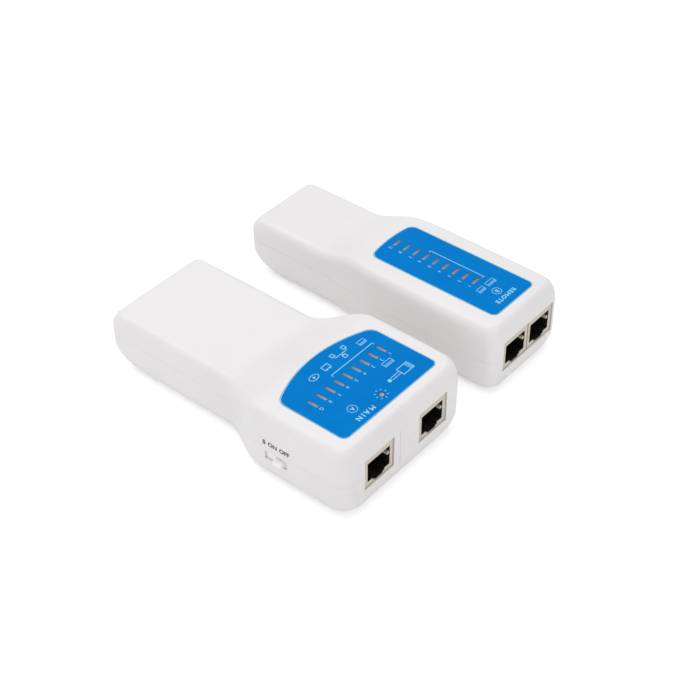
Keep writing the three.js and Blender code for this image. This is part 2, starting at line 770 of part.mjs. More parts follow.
// A lead from the snap over the bay wall and down to the board.
function batteryLead(x) {
  const path = new THREE.CatmullRomCurve3([
    new THREE.Vector3(x, SNAP_Y[0] - 0.1, BATTERY_MID_Z),
    new THREE.Vector3(x, SNAP_Y[0] - 1.2, BATTERY_MID_Z + 0.1),
    new THREE.Vector3(x * 0.95, -9.5, BATTERY_MID_Z - 0.1),
    new THREE.Vector3(x * 0.9, -12.2, BATTERY_MID_Z - 1),
    new THREE.Vector3(x * 0.88, -13, BOARD_TOP + 0.3),
  ]);
  const circle = new THREE.Shape().absarc(0, 0, LEAD_RADIUS, 0, 2 * Math.PI, false);
  const sweep = { steps: 10, curveSegments: 4, extrudePath: path };
  return solid(new THREE.ExtrudeGeometry(circle, sweep));
}

// An upright electrolytic capacitor on a rubber bung.
function capacitor(x, y) {
  const { radius, bottom, top, bungRadius, bungTop } = CAPACITOR;
  return joinAll([
    post(x, y, [BOARD_TOP + bottom, BOARD_TOP + top], radius, 14),
    post(x, y, [BOARD_TOP, BOARD_TOP + bungTop], bungRadius, 10),
  ]);
}

// ---- Assembly -----------------------------------------------------------------------------

const tester = new THREE.Group();
const mainUnit = new THREE.Group();
const remoteUnit = new THREE.Group();
remoteUnit.position.set(REMOTE_X, REMOTE_Y, 0);
tester.add(mainUnit, remoteUnit);

function place(group, name, body, material) {
  const mesh = new THREE.Mesh(geometryOf(body), material);
  mesh.name = name;
  group.add(mesh);
}

const SIDES = ["left", "right"];
const LIGHT_NAMES = ["1", "2", "3", "4", "5", "6", "7", "8", "g"];

// The pieces that both units have.
function addUnit(group, prefix, unit, layout) {
  const { jackXs, lights, panelOpenings, bottom, boardHalf, boardBackY } = layout;
  const openings = [...lightOpenings(lights), ...panelOpenings];
  place(group, `${prefix}_top_cover`, topCover(unit, jackXs, openings), WHITE_PLASTIC);
  place(group, `${prefix}_bottom_cover`, bottom, WHITE_PLASTIC);
  place(group, `${prefix}_label`, label(unit, openings), BLUE_PRINT);
  const cuts = postClearances(unit, [0, SEAM_Z]);
  place(group, `${prefix}_circuit_board`, board(unit, boardHalf, boardBackY, cuts), BOARD_GREEN);
  jackXs.forEach((x, i) => {
    place(group, `${prefix}_jack_${SIDES[i]}`, jack(x), IVORY_PLASTIC);
    place(group, `${prefix}_jack_${SIDES[i]}_contacts`, contactInsert(x), GOLD);
  });
  lights.forEach((spot, i) => {
    place(group, `${prefix}_led_${LIGHT_NAMES[i]}`, flatLight(spot), LIGHT_PLASTIC);
  });
  screwPlaces(unit).forEach((spot, i) => {
    place(group, `${prefix}_screw_${i + 1}`, screw(spot), STEEL);
  });
}

addUnit(mainUnit, "main", MAIN, {
  jackXs: MAIN_JACKS,
  lights: mainLights(),
  panelOpenings: [powerLightOpening()],
  bottom: mainBottomCover(),
  boardHalf: 29.4,
  boardBackY: -10,
});
place(mainUnit, "power_led", powerLight(), LIGHT_PLASTIC);
place(mainUnit, "power_switch_body", switchBody(), STEEL);
place(mainUnit, "power_switch_slider", switchSlider(), WHITE_PLASTIC);
place(mainUnit, "battery_door", batteryDoor(), WHITE_PLASTIC);
place(mainUnit, "battery", battery(), BATTERY_JACKET);
place(mainUnit, "battery_snap", batterySnap(), BLACK_PLASTIC);
place(mainUnit, "battery_lead_red", batteryLead(6.3), RED_WIRE);
place(mainUnit, "battery_lead_black", batteryLead(-6.3), BLACK_PLASTIC);
place(mainUnit, "counter_chip", chip(-6, -21, 8), BLACK_PLASTIC);
place(mainUnit, "timer_chip", chip(14, -21, 4), BLACK_PLASTIC);
place(mainUnit, "timing_capacitor", capacitor(23, -21), SLEEVE_BLUE);

const REMOTE_JACKS = [-REMOTE_JACK_X, REMOTE_JACK_X].map((x) => x + REMOTE_JACK_SHIFT);
const REMOTE_BOARD_STANDS = [...mirrored([13, -28]), ...mirrored([10, 0])];

addUnit(remoteUnit, "remote", REMOTE, {
  jackXs: REMOTE_JACKS,
  lights: remoteLights(),
  panelOpenings: [],
  bottom: bottomCover(REMOTE, REMOTE_JACKS, REMOTE_BOARD_STANDS),
  boardHalf: 17.8,
  boardBackY: 4,
});

export default tester;
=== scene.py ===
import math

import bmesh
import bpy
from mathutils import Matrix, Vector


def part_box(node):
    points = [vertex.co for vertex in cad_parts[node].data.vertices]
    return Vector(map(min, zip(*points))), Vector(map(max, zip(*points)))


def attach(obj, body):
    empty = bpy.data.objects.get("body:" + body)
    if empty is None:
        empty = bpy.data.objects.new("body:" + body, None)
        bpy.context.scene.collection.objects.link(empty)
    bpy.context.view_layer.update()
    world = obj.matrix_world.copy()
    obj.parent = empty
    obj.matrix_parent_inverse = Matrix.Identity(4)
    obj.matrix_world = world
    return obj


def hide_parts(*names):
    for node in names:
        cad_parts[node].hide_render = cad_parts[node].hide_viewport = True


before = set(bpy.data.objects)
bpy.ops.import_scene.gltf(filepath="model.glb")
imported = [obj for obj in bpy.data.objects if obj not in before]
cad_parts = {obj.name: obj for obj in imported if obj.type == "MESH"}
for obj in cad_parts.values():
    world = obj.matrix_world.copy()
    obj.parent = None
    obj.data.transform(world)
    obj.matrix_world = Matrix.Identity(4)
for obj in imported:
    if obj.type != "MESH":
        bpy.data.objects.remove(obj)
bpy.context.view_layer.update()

# Looks of the network cable tester: a main unit and a remote unit on a table.
#
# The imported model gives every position. Meshes are built in millimetres in the frame's axes
# (+Z up, socket faces towards -Y, main unit centred on x = 0) and scaled to metres when each
# piece is finished. The case surfaces follow the same formulas as the design, at a finer step.

MM = 0.001


def box_mm(node):
    low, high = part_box(node)
    return low / MM, high / MM


# ---- Dimensions, in millimetres --------------------------------------------------------------

main_low, main_high = box_mm("main_top_cover")
remote_low, remote_high = box_mm("remote_top_cover")

FRONT_Y, BUTT_Y = main_low.y, main_high.y
HEAD_TOP = main_high.z
HANDLE_TOP = 24.9
REMOTE_X = (remote_low.x + remote_high.x) / 2
REMOTE_Y = remote_low.y - main_low.y
WALL = 2.0

SEAM_Z = 15.5
SEAM_GAP = 0.04
SEAM_EDGE = 0.06  # radius on the two covers' meeting edges

# Rounding of the case edges: how far each edge pulls in, and over what height.
TOP_INSET = 3.5
TOP_RISE = 4.5
TOP_FRONT_RISE = 8.4
TOP_BUTT_RISE = 5.6
BOTTOM_SIDE = (6.0, 8.5)
BOTTOM_FRONT = (3.9, 9.1)
BOTTOM_BUTT = (14.0, 12.2)
ROUND_BLEND = 10.0
BUTT_CORNER = 3.0
BOTTOM_CORNER_GROWTH = 0.9
TOP_CORNER_GROWTH = -0.14

MAIN = {
    "prefix": "main",
    "body": "main_unit",
    "offset": Vector((0, 0, 0)),
    "head_half": main_high.x,
    "handle_half": 23.5,
    "waist": (39.3, 63.7),
    "slope": (41.0, 61.5),
    "corner": 6.0,
    "label": {"half": 25.2, "front": 6.4, "side": 36.0, "peak": 41.7, "rear_radius": 3.6},
    "stands": [(-3.5, -54), (3.5, -54), (-20, -13), (20, -13)],
}
REMOTE = {
    "prefix": "remote",
    "body": "remote_unit",
    "offset": Vector((REMOTE_X, REMOTE_Y, 0)),
    "head_half": (remote_high.x - remote_low.x) / 2,
    "handle_half": 18.0,
    "waist": (54.4, 82.0),
    "slope": (64.0, 86.0),
    "corner": 4.5,
    "label": {"half": 12.4, "front": 6.2, "side": 62.3, "peak": 64.5, "rear_radius": 2.0},
    "stands": [(-13, -28), (13, -28), (-10, 0), (10, 0)],
}

LABEL_FRONT_RADIUS = 2.5
LABEL_FIT = 0.15
LABEL_THICK = 0.35
LABEL_EDGE = 0.07
EDGE_HIGHLIGHT = 0.22  # pale painted highlight line round the label's print
INK = 0.02  # how far print stands above its face

JACK_FIT = 0.2
JACK_BEVEL = 0.3
PORT_DEPTH = 12.4
PORT_CEILING = 10.3
PORT_HALF = 5.95
PORT_STEP_HALF = 3.2
LATCH_HALF = 2.2
CHAMBER_FLOOR = 1.8
STEP_FLOOR = 0.9
LATCH_FLOOR = 0.3
CONTACT_COUNT = 8
CONTACT_PITCH = 1.02
CONTACT_RADIUS = 0.2

SWITCH_SLOT_Y = (-34.2, -24.0)
SWITCH_SLOT_Z = (10.2, 13.8)
DUST_PLATE_X = (-32.0, -31.4)
PLATE_POCKET = ((-32.2, -29.0), (-39.0, -19.0), (9.6, 14.4))
FRONT_GROOVE_X = -3.6
FRONT_GROOVE_Z = (6.0, 22.7)
FRONT_GROOVE = (0.5, 0.16)  # width, depth

DOOR_HALF = 13.8
DOOR_FRONT_Y = 6.0
DOOR_TOP = 9.0
DOOR_FIT = 0.25
RAIL_REACH = 0.9
RAIL_Z = (0.8, 1.5)
RAIL_Y = (7.0, 44.0)
TONGUE = {"half": 5, "reach": 2.5, "top": 3}
GRIP = {"count": 5, "pitch": 2, "half": 6, "setback": 6, "width": 0.9, "depth": 0.5}
BAY_WALL = ((-22, 22), (-8, -6.8), (1, 13))
BAY_NOTCH = ((-9, 9), (-9, -6), (8, 14))  # lets the battery leads through the bay wall

LIGHT_FLANGE = 0.36
LAMP_RADIUS = 1.2
LAMP_COLLAR = 0.5

SCREW_HEAD = 2.1
SCREW_SHANK = 1.2
SCREW_FIT = 0.25
SEAT_Z = 1.9
BOSS_RADIUS = 2.6
BOSS_TOP = 6.0
FAR = 100.0

# ---- Outlines and lofts ----------------------------------------------------------------------


def smooth(t):
    u = min(1.0, max(0.0, t))
    return u * u * (3 - 2 * u)


def top_height(unit, y):
    start, end = unit["slope"]
    t = (y - FRONT_Y - start) / (end - start)
    return HEAD_TOP + (HANDLE_TOP - HEAD_TOP) * smooth(t)


def end_weights(y):
    """How much the front and the butt roundings count at y."""
    front = math.exp(-(((y - FRONT_Y) / ROUND_BLEND) ** 2))
    butt = math.exp(-(((BUTT_Y - y) / ROUND_BLEND) ** 2))
    return front, butt


def arc(cx, cy, radius, start, end, steps):
    points = []
    for i in range(steps + 1):
        a = math.radians(start + (end - start) * i / steps)
        points.append((cx + radius * math.cos(a), cy + radius * math.sin(a)))
    return points


def half_outline(unit, inset, pull, growth, side_steps=60):
    """The +X half of the case outline, from the front corner to the butt corner."""
    side, front, butt = pull
    head_x = unit["head_half"] - inset - side
    handle_x = unit["handle_half"] - inset - side
    front_y = FRONT_Y + inset + front
    butt_y = BUTT_Y - inset - butt
    front_radius = unit["corner"] - 0.8 * inset + growth * min(side, front)
    butt_radius = BUTT_CORNER - 0.8 * inset + growth * min(side, butt)
    start, end = [FRONT_Y + y for y in unit["waist"]]
    low = front_y + front_radius
    high = butt_y - butt_radius
    points = arc(head_x - front_radius, low, front_radius, -90, 0, 14)
    for i in range(1, side_steps):
        y = low + (high - low) * i / side_steps
        x = head_x + (handle_x - head_x) * smooth((y - start) / (end - start))
        points.append((x, y))
    return points + arc(handle_x - butt_radius, high, butt_radius, 0, 90, 10)


def ring(half, height):
    """A closed ring of points from a half outline, mirrored about x = 0."""
    right = [(x, y, height(y)) for x, y in half]
    left = [(-x, y, z) for x, y, z in reversed(right)]
    return right + left


def bottom_levels(unit, inset, steps):
    levels = []
    for i in range(steps + 1):
        a = math.pi / 2 * i / steps
        share = 1 - math.sin(a)
        pull = [reach * share for reach, _ in (BOTTOM_SIDE, BOTTOM_FRONT, BOTTOM_BUTT)]
        half = half_outline(unit, inset, pull, BOTTOM_CORNER_GROWTH)

        def height(y, a=a):
            front, butt = end_weights(y)
            rise = BOTTOM_SIDE[1] * (1 - front - butt) + BOTTOM_FRONT[1] * front
            return inset + (rise + BOTTOM_BUTT[1] * butt) * (1 - math.cos(a))

        levels.append(ring(half, height))
    return levels


def top_levels(unit, inset, steps):
    levels = []
    for i in range(steps + 1):
        a = math.pi / 2 * i / steps
        reach = TOP_INSET * (1 - math.cos(a))
        half = half_outline(unit, inset, [reach] * 3, TOP_CORNER_GROWTH)

        def height(y, a=a):
            front, butt = end_weights(y)
            rise = TOP_RISE * (1 - front - butt) + TOP_FRONT_RISE * front + TOP_BUTT_RISE * butt
            return top_height(unit, y) - inset - rise * (1 - math.sin(a))

        levels.append(ring(half, height))
    return levels


def wall_level(unit, inset, z):
    return ring(half_outline(unit, inset, (0, 0, 0), 0), lambda y: z)


def seam_levels(unit, z, direction):
    """Levels of the small round where a cover's outer wall meets the seam, ending at z."""
    levels = []
    steps = 3
    for i in range(steps + 1):
        a = math.pi / 2 * i / steps
        drop = SEAM_EDGE * (1 - math.sin(a))
        levels.append(wall_level(unit, SEAM_EDGE * (1 - math.cos(a)), z - direction * drop))
    return levels


def lofted(name, levels):
    """A closed body through rings of equal length. Its ends are strips between mirrored points."""
    count = len(levels[0])
    vertices = [point for level in levels for point in level]
    faces = []
    for level in range(len(levels) - 1):
        base = level * count
        for i in range(count):
            j = (i + 1) % count
            faces.append((base + i, base + j, base + count + j, base + count + i))
    top = (len(levels) - 1) * count
    for i in range(count // 2 - 1):
        opposite = count - 1 - i
        faces.append((i + 1, i, opposite, opposite - 1))
        faces.append((top + i, top + i + 1, top + opposite - 1, top + opposite))
    return new_object(name, vertices, faces)


# ---- Solids ----------------------------------------------------------------------------------


def new_object(name, vertices, faces):
    mesh = bpy.data.meshes.new(name)
    mesh.from_pydata([tuple(v) for v in vertices], [], faces)
    mesh.update()
    obj = bpy.data.objects.new(name, mesh)
    bpy.context.scene.collection.objects.link(obj)
    return obj


def object_from(name, bm):
    mesh = bpy.data.meshes.new(name)
    bm.to_mesh(mesh)
    bm.free()
    obj = bpy.data.objects.new(name, mesh)
    bpy.context.scene.collection.objects.link(obj)
    return obj


def prism(points, low, high, along="z"):
    """A flat outline, counter-clockwise, raised along z, or run along y from an x-z outline."""
    count = len(points)
    if along == "z":
        rings = [[(a, b, h) for a, b in points] for h in (low, high)]
    else:
        rings = [[(a, h, b) for a, b in points] for h in (high, low)]
    faces = [tuple(reversed(range(count))), tuple(range(count, 2 * count))]
    for i in range(count):
        j = (i + 1) % count
        faces.append((i, j, count + j, count + i))
    return new_object("solid", rings[0] + rings[1], faces)


def block(x, y, z, bevel=0.0, segments=3):
    bm = bmesh.new()
    size = (x[1] - x[0], y[1] - y[0], z[1] - z[0])
    centre = ((x[0] + x[1]) / 2, (y[0] + y[1]) / 2, (z[0] + z[1]) / 2)
    matrix = Matrix.Translation(centre) @ Matrix.Diagonal((*size, 1))
    bmesh.ops.create_cube(bm, size=1, matrix=matrix)
    if bevel:
        bmesh.ops.bevel(
            bm, geom=bm.edges[:], offset=bevel, segments=segments, profile=0.5, affect="EDGES"
        )
    return object_from("solid", bm)


def post(x, y, z, radius, segments=40):
    return prism(arc(x, y, radius, 0, 360, segments)[:-1], *z)


def turned(profile, x, y, segments=48):
    """A profile of (radius, z) points from axis to axis, turned about the upright line at x, y."""
    inner = profile[1:-1]
    vertices = [(x, y, profile[0][1]), (x, y, profile[-1][1])]
    for k in range(segments):
        a = 2 * math.pi * k / segments
        vertices += [(x + r * math.cos(a), y + r * math.sin(a), z) for r, z in inner]
    count = len(inner)
    faces = []
    for k in range(segments):
        here = 2 + k * count
        there = 2 + ((k + 1) % segments) * count
        faces.append((0, there, here))
        faces.append((1, here + count - 1, there + count - 1))
        for i in range(count - 1):
            faces.append((here + i, there + i, there + i + 1, here + i + 1))
    return new_object("solid", vertices, faces)


def tube(name, path, radius, segments=14):
    """A round wire along a path of points, with closed ends."""
    points = [Vector(p) for p in path]
    vertices = []
    side = Vector((1, 0, 0))
    for i, point in enumerate(points):
        before = points[max(0, i - 1)]
        after = points[min(len(points) - 1, i + 1)]
        tangent = (after - before).normalized()
        across = (side - tangent * side.dot(tangent)).normalized()
        up = tangent.cross(across)
        for k in range(segments):
            a = 2 * math.pi * k / segments
            vertices.append(point + (across * math.cos(a) + up * math.sin(a)) * radius)
    faces = [tuple(reversed(range(segments)))]
    for i in range(len(points) - 1):
        for k in range(segments):
            a = i * segments + k
            b = i * segments + (k + 1) % segments
            faces.append((a, b, b + segments, a + segments))
    last = (len(points) - 1) * segments
    faces.append(tuple(range(last, last + segments)))
    return new_object(name, vertices, faces)


def curve_through(points, steps=8):
    """Points on a smooth curve through the given ones."""
    given = [Vector(p) for p in points]
    ends = [given[0] * 2 - given[1], *given, given[-1] * 2 - given[-2]]
    path = []
    for i in range(1, len(ends) - 2):
        a, b, c, d = ends[i - 1 : i + 3]
        for k in range(steps):
            t = k / steps
            path.append(
                0.5
                * (2 * b + (c - a) * t + (2 * a - 5 * b + 4 * c - d) * t**2
                   + (3 * b - 3 * c + d - a) * t**3)
            )
    return path + [given[-1]]


def discard(obj):
    mesh = obj.data
    bpy.data.objects.remove(obj)
    bpy.data.meshes.remove(mesh)


def join_loose(objects):
    """Bodies that don't touch, as one object."""
    bm = bmesh.new()
    for obj in objects:
        bm.from_mesh(obj.data)
        discard(obj)
    return object_from("solid", bm)


def combine(obj, others, operation):
    """obj joined with, cut by or kept inside each of the others, which are used up."""
    for other in others:
        step = obj.modifiers.new("boolean", "BOOLEAN")
        step.operation = operation
        step.solver = "MANIFOLD"
        step.object = other
        graph = bpy.context.evaluated_depsgraph_get()
        mesh = bpy.data.meshes.new_from_object(obj.evaluated_get(graph))
        mesh.materials.clear()
        obj.modifiers.clear()
        old = obj.data
        obj.data = mesh
        bpy.data.meshes.remove(old)
        discard(other)
    return obj


def cut(obj, *others):
    return combine(obj, others, "DIFFERENCE")


def add(obj, *others):
    return combine(obj, others, "UNION")


def finish_piece(obj, name, material, body, replaces=(), offset=None, sharp=32):
    """Scales a piece to metres, shades it, gives it its material and rides it on its body."""
    obj.name = name
    obj.data.name = name
    if offset is not None:
        obj.data.transform(Matrix.Translation(offset))
    obj.data.transform(Matrix.Scale(MM, 4))
    obj.data.shade_smooth()
    obj.data.set_sharp_from_angle(angle=math.radians(sharp))
    normals = obj.modifiers.new("normals", "WEIGHTED_NORMAL")
    normals.keep_sharp = True
    if not obj.data.materials:
        obj.data.materials.append(material)
    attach(obj, body)
    if replaces:
        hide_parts(*replaces)
    return obj


# ---- Materials -------------------------------------------------------------------------------


def srgb(r, g, b):
    def linear(value):
        c = value / 255
        return c / 12.92 if c <= 0.04045 else ((c + 0.055) / 1.055) ** 2.4

    return (linear(r), linear(g), linear(b), 1.0)


def noise(nodes, links, source, scale, detail=3.0):
    node = nodes.new("ShaderNodeTexNoise")
    node.inputs["Scale"].default_value = scale
    node.inputs["Detail"].default_value = detail
    links.new(source, node.inputs["Vector"])
    return node.outputs["Fac"]


def ramp(nodes, links, source, stops):
    node = nodes.new("ShaderNodeValToRGB")
    elements = node.color_ramp.elements
    while len(elements) < len(stops):
        elements.new(0.5)
    for element, (place, colour) in zip(elements, stops):
        element.position = place
        element.color = colour
    links.new(source, node.inputs["Fac"])
    return node.outputs["Color"]


def spread(nodes, links, source, low, high):
    node = nodes.new("ShaderNodeMapRange")
    node.inputs["From Min"].default_value = 0.3
    node.inputs["From Max"].default_value = 0.7
    node.inputs["To Min"].default_value = low
    node.inputs["To Max"].default_value = high
    links.new(source, node.inputs["Value"])
    return node.outputs["Result"]


def surface(name, colours, roughness, mottle=60.0, grain=2600.0, relief=0.00001, **extra):
    """A surface whose colour drifts, whose gloss is uneven and that has a fine relief.

    colours are the two ends of the drift; extra sets inputs of the Principled shader.
    """
    material = bpy.data.materials.new(name)
    material.use_nodes = True
    nodes, links = material.node_tree.nodes, material.node_tree.links
    shader = nodes["Principled BSDF"]
    place = nodes.new("ShaderNodeTexCoord").outputs["Object"]
    drift = noise(nodes, links, place, mottle)
    links.new(
        ramp(nodes, links, drift, [(0.3, colours[0]), (0.7, colours[1])]),
        shader.inputs["Base Color"],
    )
    gloss = noise(nodes, links, place, mottle * 4)
    links.new(spread(nodes, links, gloss, *roughness), shader.inputs["Roughness"])
    bump = nodes.new("ShaderNodeBump")
    bump.inputs["Strength"].default_value = 0.6
    bump.inputs["Distance"].default_value = relief
    links.new(noise(nodes, links, place, grain, 4.0), bump.inputs["Height"])
    links.new(bump.outputs["Normal"], shader.inputs["Normal"])
    for key, value in extra.items():
        shader.inputs[key.replace("_", " ")].default_value = value
    return material


def overlay(material, colour, share):
    """Mixes a share of another colour over the base colour of a material."""
    nodes, links = material.node_tree.nodes, material.node_tree.links
    base = nodes["Principled BSDF"].inputs["Base Color"]
    mix = nodes.new("ShaderNodeMix")
    mix.data_type = "RGBA"
    mix.inputs["Factor"].default_value = share
    links.new(base.links[0].from_socket, mix.inputs[6])
    links.new(colour, mix.inputs[7])
    links.new(mix.outputs[2], base)


def band_along(material, axis, stops, share):
    """Lays colours along one axis of the piece over its base colour."""
    nodes, links = material.node_tree.nodes, material.node_tree.links
    parts = nodes.new("ShaderNodeSeparateXYZ")
    links.new(nodes.new("ShaderNodeTexCoord").outputs["Generated"], parts.inputs["Vector"])
    overlay(material, ramp(nodes, links, parts.outputs[axis], stops), share)


def lamp_plastic(name, axis):
    """Clear diffused plastic, grey at the near end, with painted shade that turns it brownish
    towards the far end.
    """
    material = surface(
        name,
        (srgb(128, 138, 150), srgb(146, 154, 164)),
        (0.22, 0.34),
        mottle=900.0,
        relief=0.000006,
        Coat_Weight=0.4,
    )
    # Painted shade: the colour darkens from grey to brown along the light's length.
    stops = [
        (0.0, srgb(132, 142, 152)),
        (0.4, srgb(122, 126, 136)),
        (0.72, srgb(100, 92, 92)),
        (0.92, srgb(80, 72, 68)),
    ]
    band_along(material, axis, stops, 0.75)
    return material


def lamp_lens():
    """A clear dome with a painted highlight on the side towards the sockets, fading to dark grey on
    the far side.
    """
    material = surface(
        "power_lamp_lens",
        (srgb(74, 74, 80), srgb(112, 110, 116)),
        (0.06, 0.12),
        mottle=700.0,
        relief=0.000002,
        Coat_Weight=1.0,
        Coat_Roughness=0.03,
    )
    # Painted highlight: pale at the socket side, fading to the dark lens colour.
    stops = [
        (0.15, srgb(222, 234, 240)),
        (0.34, srgb(176, 196, 210)),
        (0.5, srgb(112, 120, 132)),
        (0.8, srgb(74, 72, 78)),
    ]
    band_along(material, "Y", stops, 0.8)
    return material


def board_mask():
    """Green solder mask over a maze of copper tracks."""
    material = surface(
        "solder_mask", (srgb(16, 84, 48), srgb(22, 102, 58)), (0.3, 0.42), mottle=150.0
    )
    nodes, links = material.node_tree.nodes, material.node_tree.links
    place = nodes.new("ShaderNodeTexCoord").outputs["Object"]
    tracks = nodes.new("ShaderNodeTexBrick")
    tracks.inputs["Scale"].default_value = 210.0
    tracks.inputs["Mortar Size"].default_value = 0.035
    tracks.inputs["Color1"].default_value = srgb(18, 88, 50)
    tracks.inputs["Color2"].default_value = srgb(20, 96, 54)
    tracks.inputs["Mortar"].default_value = srgb(60, 140, 84)
    links.new(place, tracks.inputs["Vector"])
    overlay(material, tracks.outputs["Color"], 0.6)
    return material


def battery_jacket():
    """A printed metal can: dark jacket with a copper-toned band near the stud end."""
    material = surface(
        "battery_jacket", (srgb(40, 44, 50), srgb(52, 56, 62)), (0.25, 0.36), Metallic=0.35
    )
    stops = [
        (0.0, srgb(176, 178, 180)),
        (0.07, srgb(190, 120, 70)),
        (0.3, srgb(190, 120, 70)),
        (0.31, srgb(40, 43, 50)),
    ]
    band_along(material, "Y", stops, 0.8)
    return material


WHITE = surface(
    "white_abs",
    (srgb(234, 232, 232), srgb(239, 237, 237)),
    (0.3, 0.38),
    mottle=25.0,
    relief=0.000012,
)
# Painted highlight: the knob is a brighter white than the case so that it stands out as lit.
KNOB_LIT_WHITE = surface(
    "switch_knob_lit_white",
    (srgb(247, 246, 246), srgb(251, 250, 250)),
    (0.4, 0.5),
    mottle=200.0,
    relief=0.00001,
)
BLUE = surface(
    "blue_label_print",
    (srgb(0, 121, 202), srgb(0, 127, 208)),
    (0.34, 0.42),
    mottle=90.0,
    grain=5000.0,
    relief=0.000005,
    Specular_IOR_Level=0.02,
)
# Pale print; also the painted highlight line round the label's edge.
PALE_INK_AND_HIGHLIGHT = surface(
    "pale_print_and_edge_highlight", (srgb(140, 212, 246), srgb(158, 222, 248)), (0.4, 0.5), mottle=800.0
)
DARK_INK = surface("dark_print", (srgb(84, 80, 84), srgb(100, 96, 100)), (0.5, 0.6), mottle=900.0)
IVORY = surface(
    "ivory_nylon", (srgb(205, 196, 180), srgb(214, 206, 190)), (0.38, 0.5), mottle=220.0
)
# Painted shadow: a brownish line on the jack's outer bevel, where the case window's edge shades the
# face.
JACK_RIM_SHADOW = surface(
    "ivory_nylon_painted_rim_shadow", (srgb(150, 134, 122), srgb(166, 150, 138)), (0.5, 0.6), mottle=400.0
)
BLACK = surface("black_plastic", (srgb(16, 15, 16), srgb(24, 23, 24)), (0.42, 0.58), mottle=200.0)
GOLD = surface(
    "gold_plate", (srgb(198, 172, 118), srgb(214, 190, 138)), (0.2, 0.3), 500.0, Metallic=1.0
)
STEEL = surface(
    "zinc_plate", (srgb(176, 178, 180), srgb(196, 198, 200)), (0.24, 0.4), 700.0, Metallic=1.0
)
SLEEVE = surface("capacitor_sleeve", (srgb(30, 52, 96), srgb(36, 62, 110)), (0.3, 0.4))
RED = surface("red_insulation", (srgb(170, 28, 26), srgb(186, 36, 32)), (0.36, 0.48), 300.0)
LAMP_Y = lamp_plastic("lamp_plastic_painted_shade_main", "Y")
LAMP_X = lamp_plastic("lamp_plastic_painted_shade_remote", "X")
LENS = lamp_lens()
BOARD = board_mask()
JACKET = battery_jacket()

# ---- Places taken from the frame -------------------------------------------------------------


def centre_of(node):
    low, high = box_mm(node)
    return (low + high) / 2


def jack_nodes(unit):
    return [f"{unit['prefix']}_jack_{side}" for side in ("left", "right")]


def light_nodes(unit):
    return [f"{unit['prefix']}_led_{mark}" for mark in "12345678g"]


def screw_places(unit):
    nodes = [f"{unit['prefix']}_screw_{i}" for i in (1, 2, 3, 4)]
    return [centre_of(node) - unit["offset"] for node in nodes]


# ---- Covers ----------------------------------------------------------------------------------


def jack_windows(unit):
    windows = []
    for node in jack_nodes(unit):
        low, high = box_mm(node)
        low, high = low - unit["offset"], high - unit["offset"]
        windows.append(
            block(
                (low.x - JACK_FIT, high.x + JACK_FIT),
                (FRONT_Y - 2, high.y),
                (low.z - JACK_FIT, high.z + JACK_FIT),
            )
        )
    return windows


def light_slots(unit, low_z):
    """Openings round the flat lights, whose flange is wider than the part that shows."""
    slots = []
    for node in light_nodes(unit):
        low, high = box_mm(node)
        low, high = low - unit["offset"], high - unit["offset"]
        across = (low.x + LIGHT_FLANGE, high.x - LIGHT_FLANGE)
        along = (low.y + LIGHT_FLANGE, high.y - LIGHT_FLANGE)
        slots.append(block(across, along, (low_z, FAR)))
    return join_loose(slots)


def power_light_hole(low_z):
    centre = centre_of("power_led")
    return post(centre.x, centre.y, (low_z, FAR), LAMP_RADIUS + 0.06)


def label_outline(unit, grow):
    """A panel with a straight front edge and a gently arched rear edge."""
    label = unit["label"]
    x = label["half"] + grow
    front = FRONT_Y + label["front"] - grow
    side_y = FRONT_Y + label["side"] + grow
    peak_y = FRONT_Y + label["peak"] + grow
    radius = LABEL_FRONT_RADIUS + grow
    rear = label["rear_radius"]
    shoulder = side_y + 1.2
    right = arc(x - radius, front + radius, radius, -90, 0, 10)
    right += quadratic((x, side_y - rear), (x, side_y), (x - rear, shoulder), 10)
    crown = (0, 2 * peak_y - shoulder)
    half_arch = quadratic((x - rear, shoulder), crown, (rear - x, shoulder), 24)
    left = [(-px, py) for px, py in reversed(right)]
    return right + half_arch[1:-1] + left


def quadratic(a, b, c, steps):
    points = []
    for i in range(steps + 1):
        t = i / steps
        u = 1 - t
        points.append(tuple(u * u * a[k] + 2 * u * t * b[k] + t * t * c[k] for k in (0, 1)))
    return points


def label_recess(unit):
    floor = HEAD_TOP - LABEL_THICK - 0.05
    return prism(label_outline(unit, LABEL_FIT), floor, FAR)


def front_groove():
    width, depth = FRONT_GROOVE
    half = width / 2
    return block(
        (FRONT_GROOVE_X - half, FRONT_GROOVE_X + half),
        (FRONT_Y - 1, FRONT_Y + depth),
        FRONT_GROOVE_Z,
    )


def top_shell(unit):
    low = SEAM_Z + SEAM_GAP / 2
    outer = lofted("solid", list(reversed(seam_levels(unit, low, -1))) + top_levels(unit, 0, 10))
    inner = lofted("solid", [wall_level(unit, WALL, low - 1)] + top_levels(unit, WALL, 4))
    shell = cut(outer, inner)
    for place in screw_places(unit):
        roof = top_height(unit, place.y) - WALL
        boss = post(place.x, place.y, (BOSS_TOP + 0.2, roof + 1), BOSS_RADIUS)
        pilot = post(place.x, place.y, (BOSS_TOP - 1, SEAT_Z + 12), SCREW_SHANK + 0.15)
        shell = add(shell, cut(boss, pilot))
    cuts = jack_windows(unit) + [label_recess(unit), light_slots(unit, HEAD_TOP - 5)]
    if unit is MAIN:
        cuts += [power_light_hole(HEAD_TOP - 5), front_groove()]
    cut(shell, *cuts)
    name = unit["prefix"]
    finish_piece(
        shell, f"{name}_top_shell", WHITE, unit["body"],
        [f"{name}_top_cover"], unit["offset"],
    )


def flat_outline(unit, inset):
    half = half_outline(unit, inset, (0, 0, 0), 0)
    return half + [(-x, y) for x, y in reversed(half)]


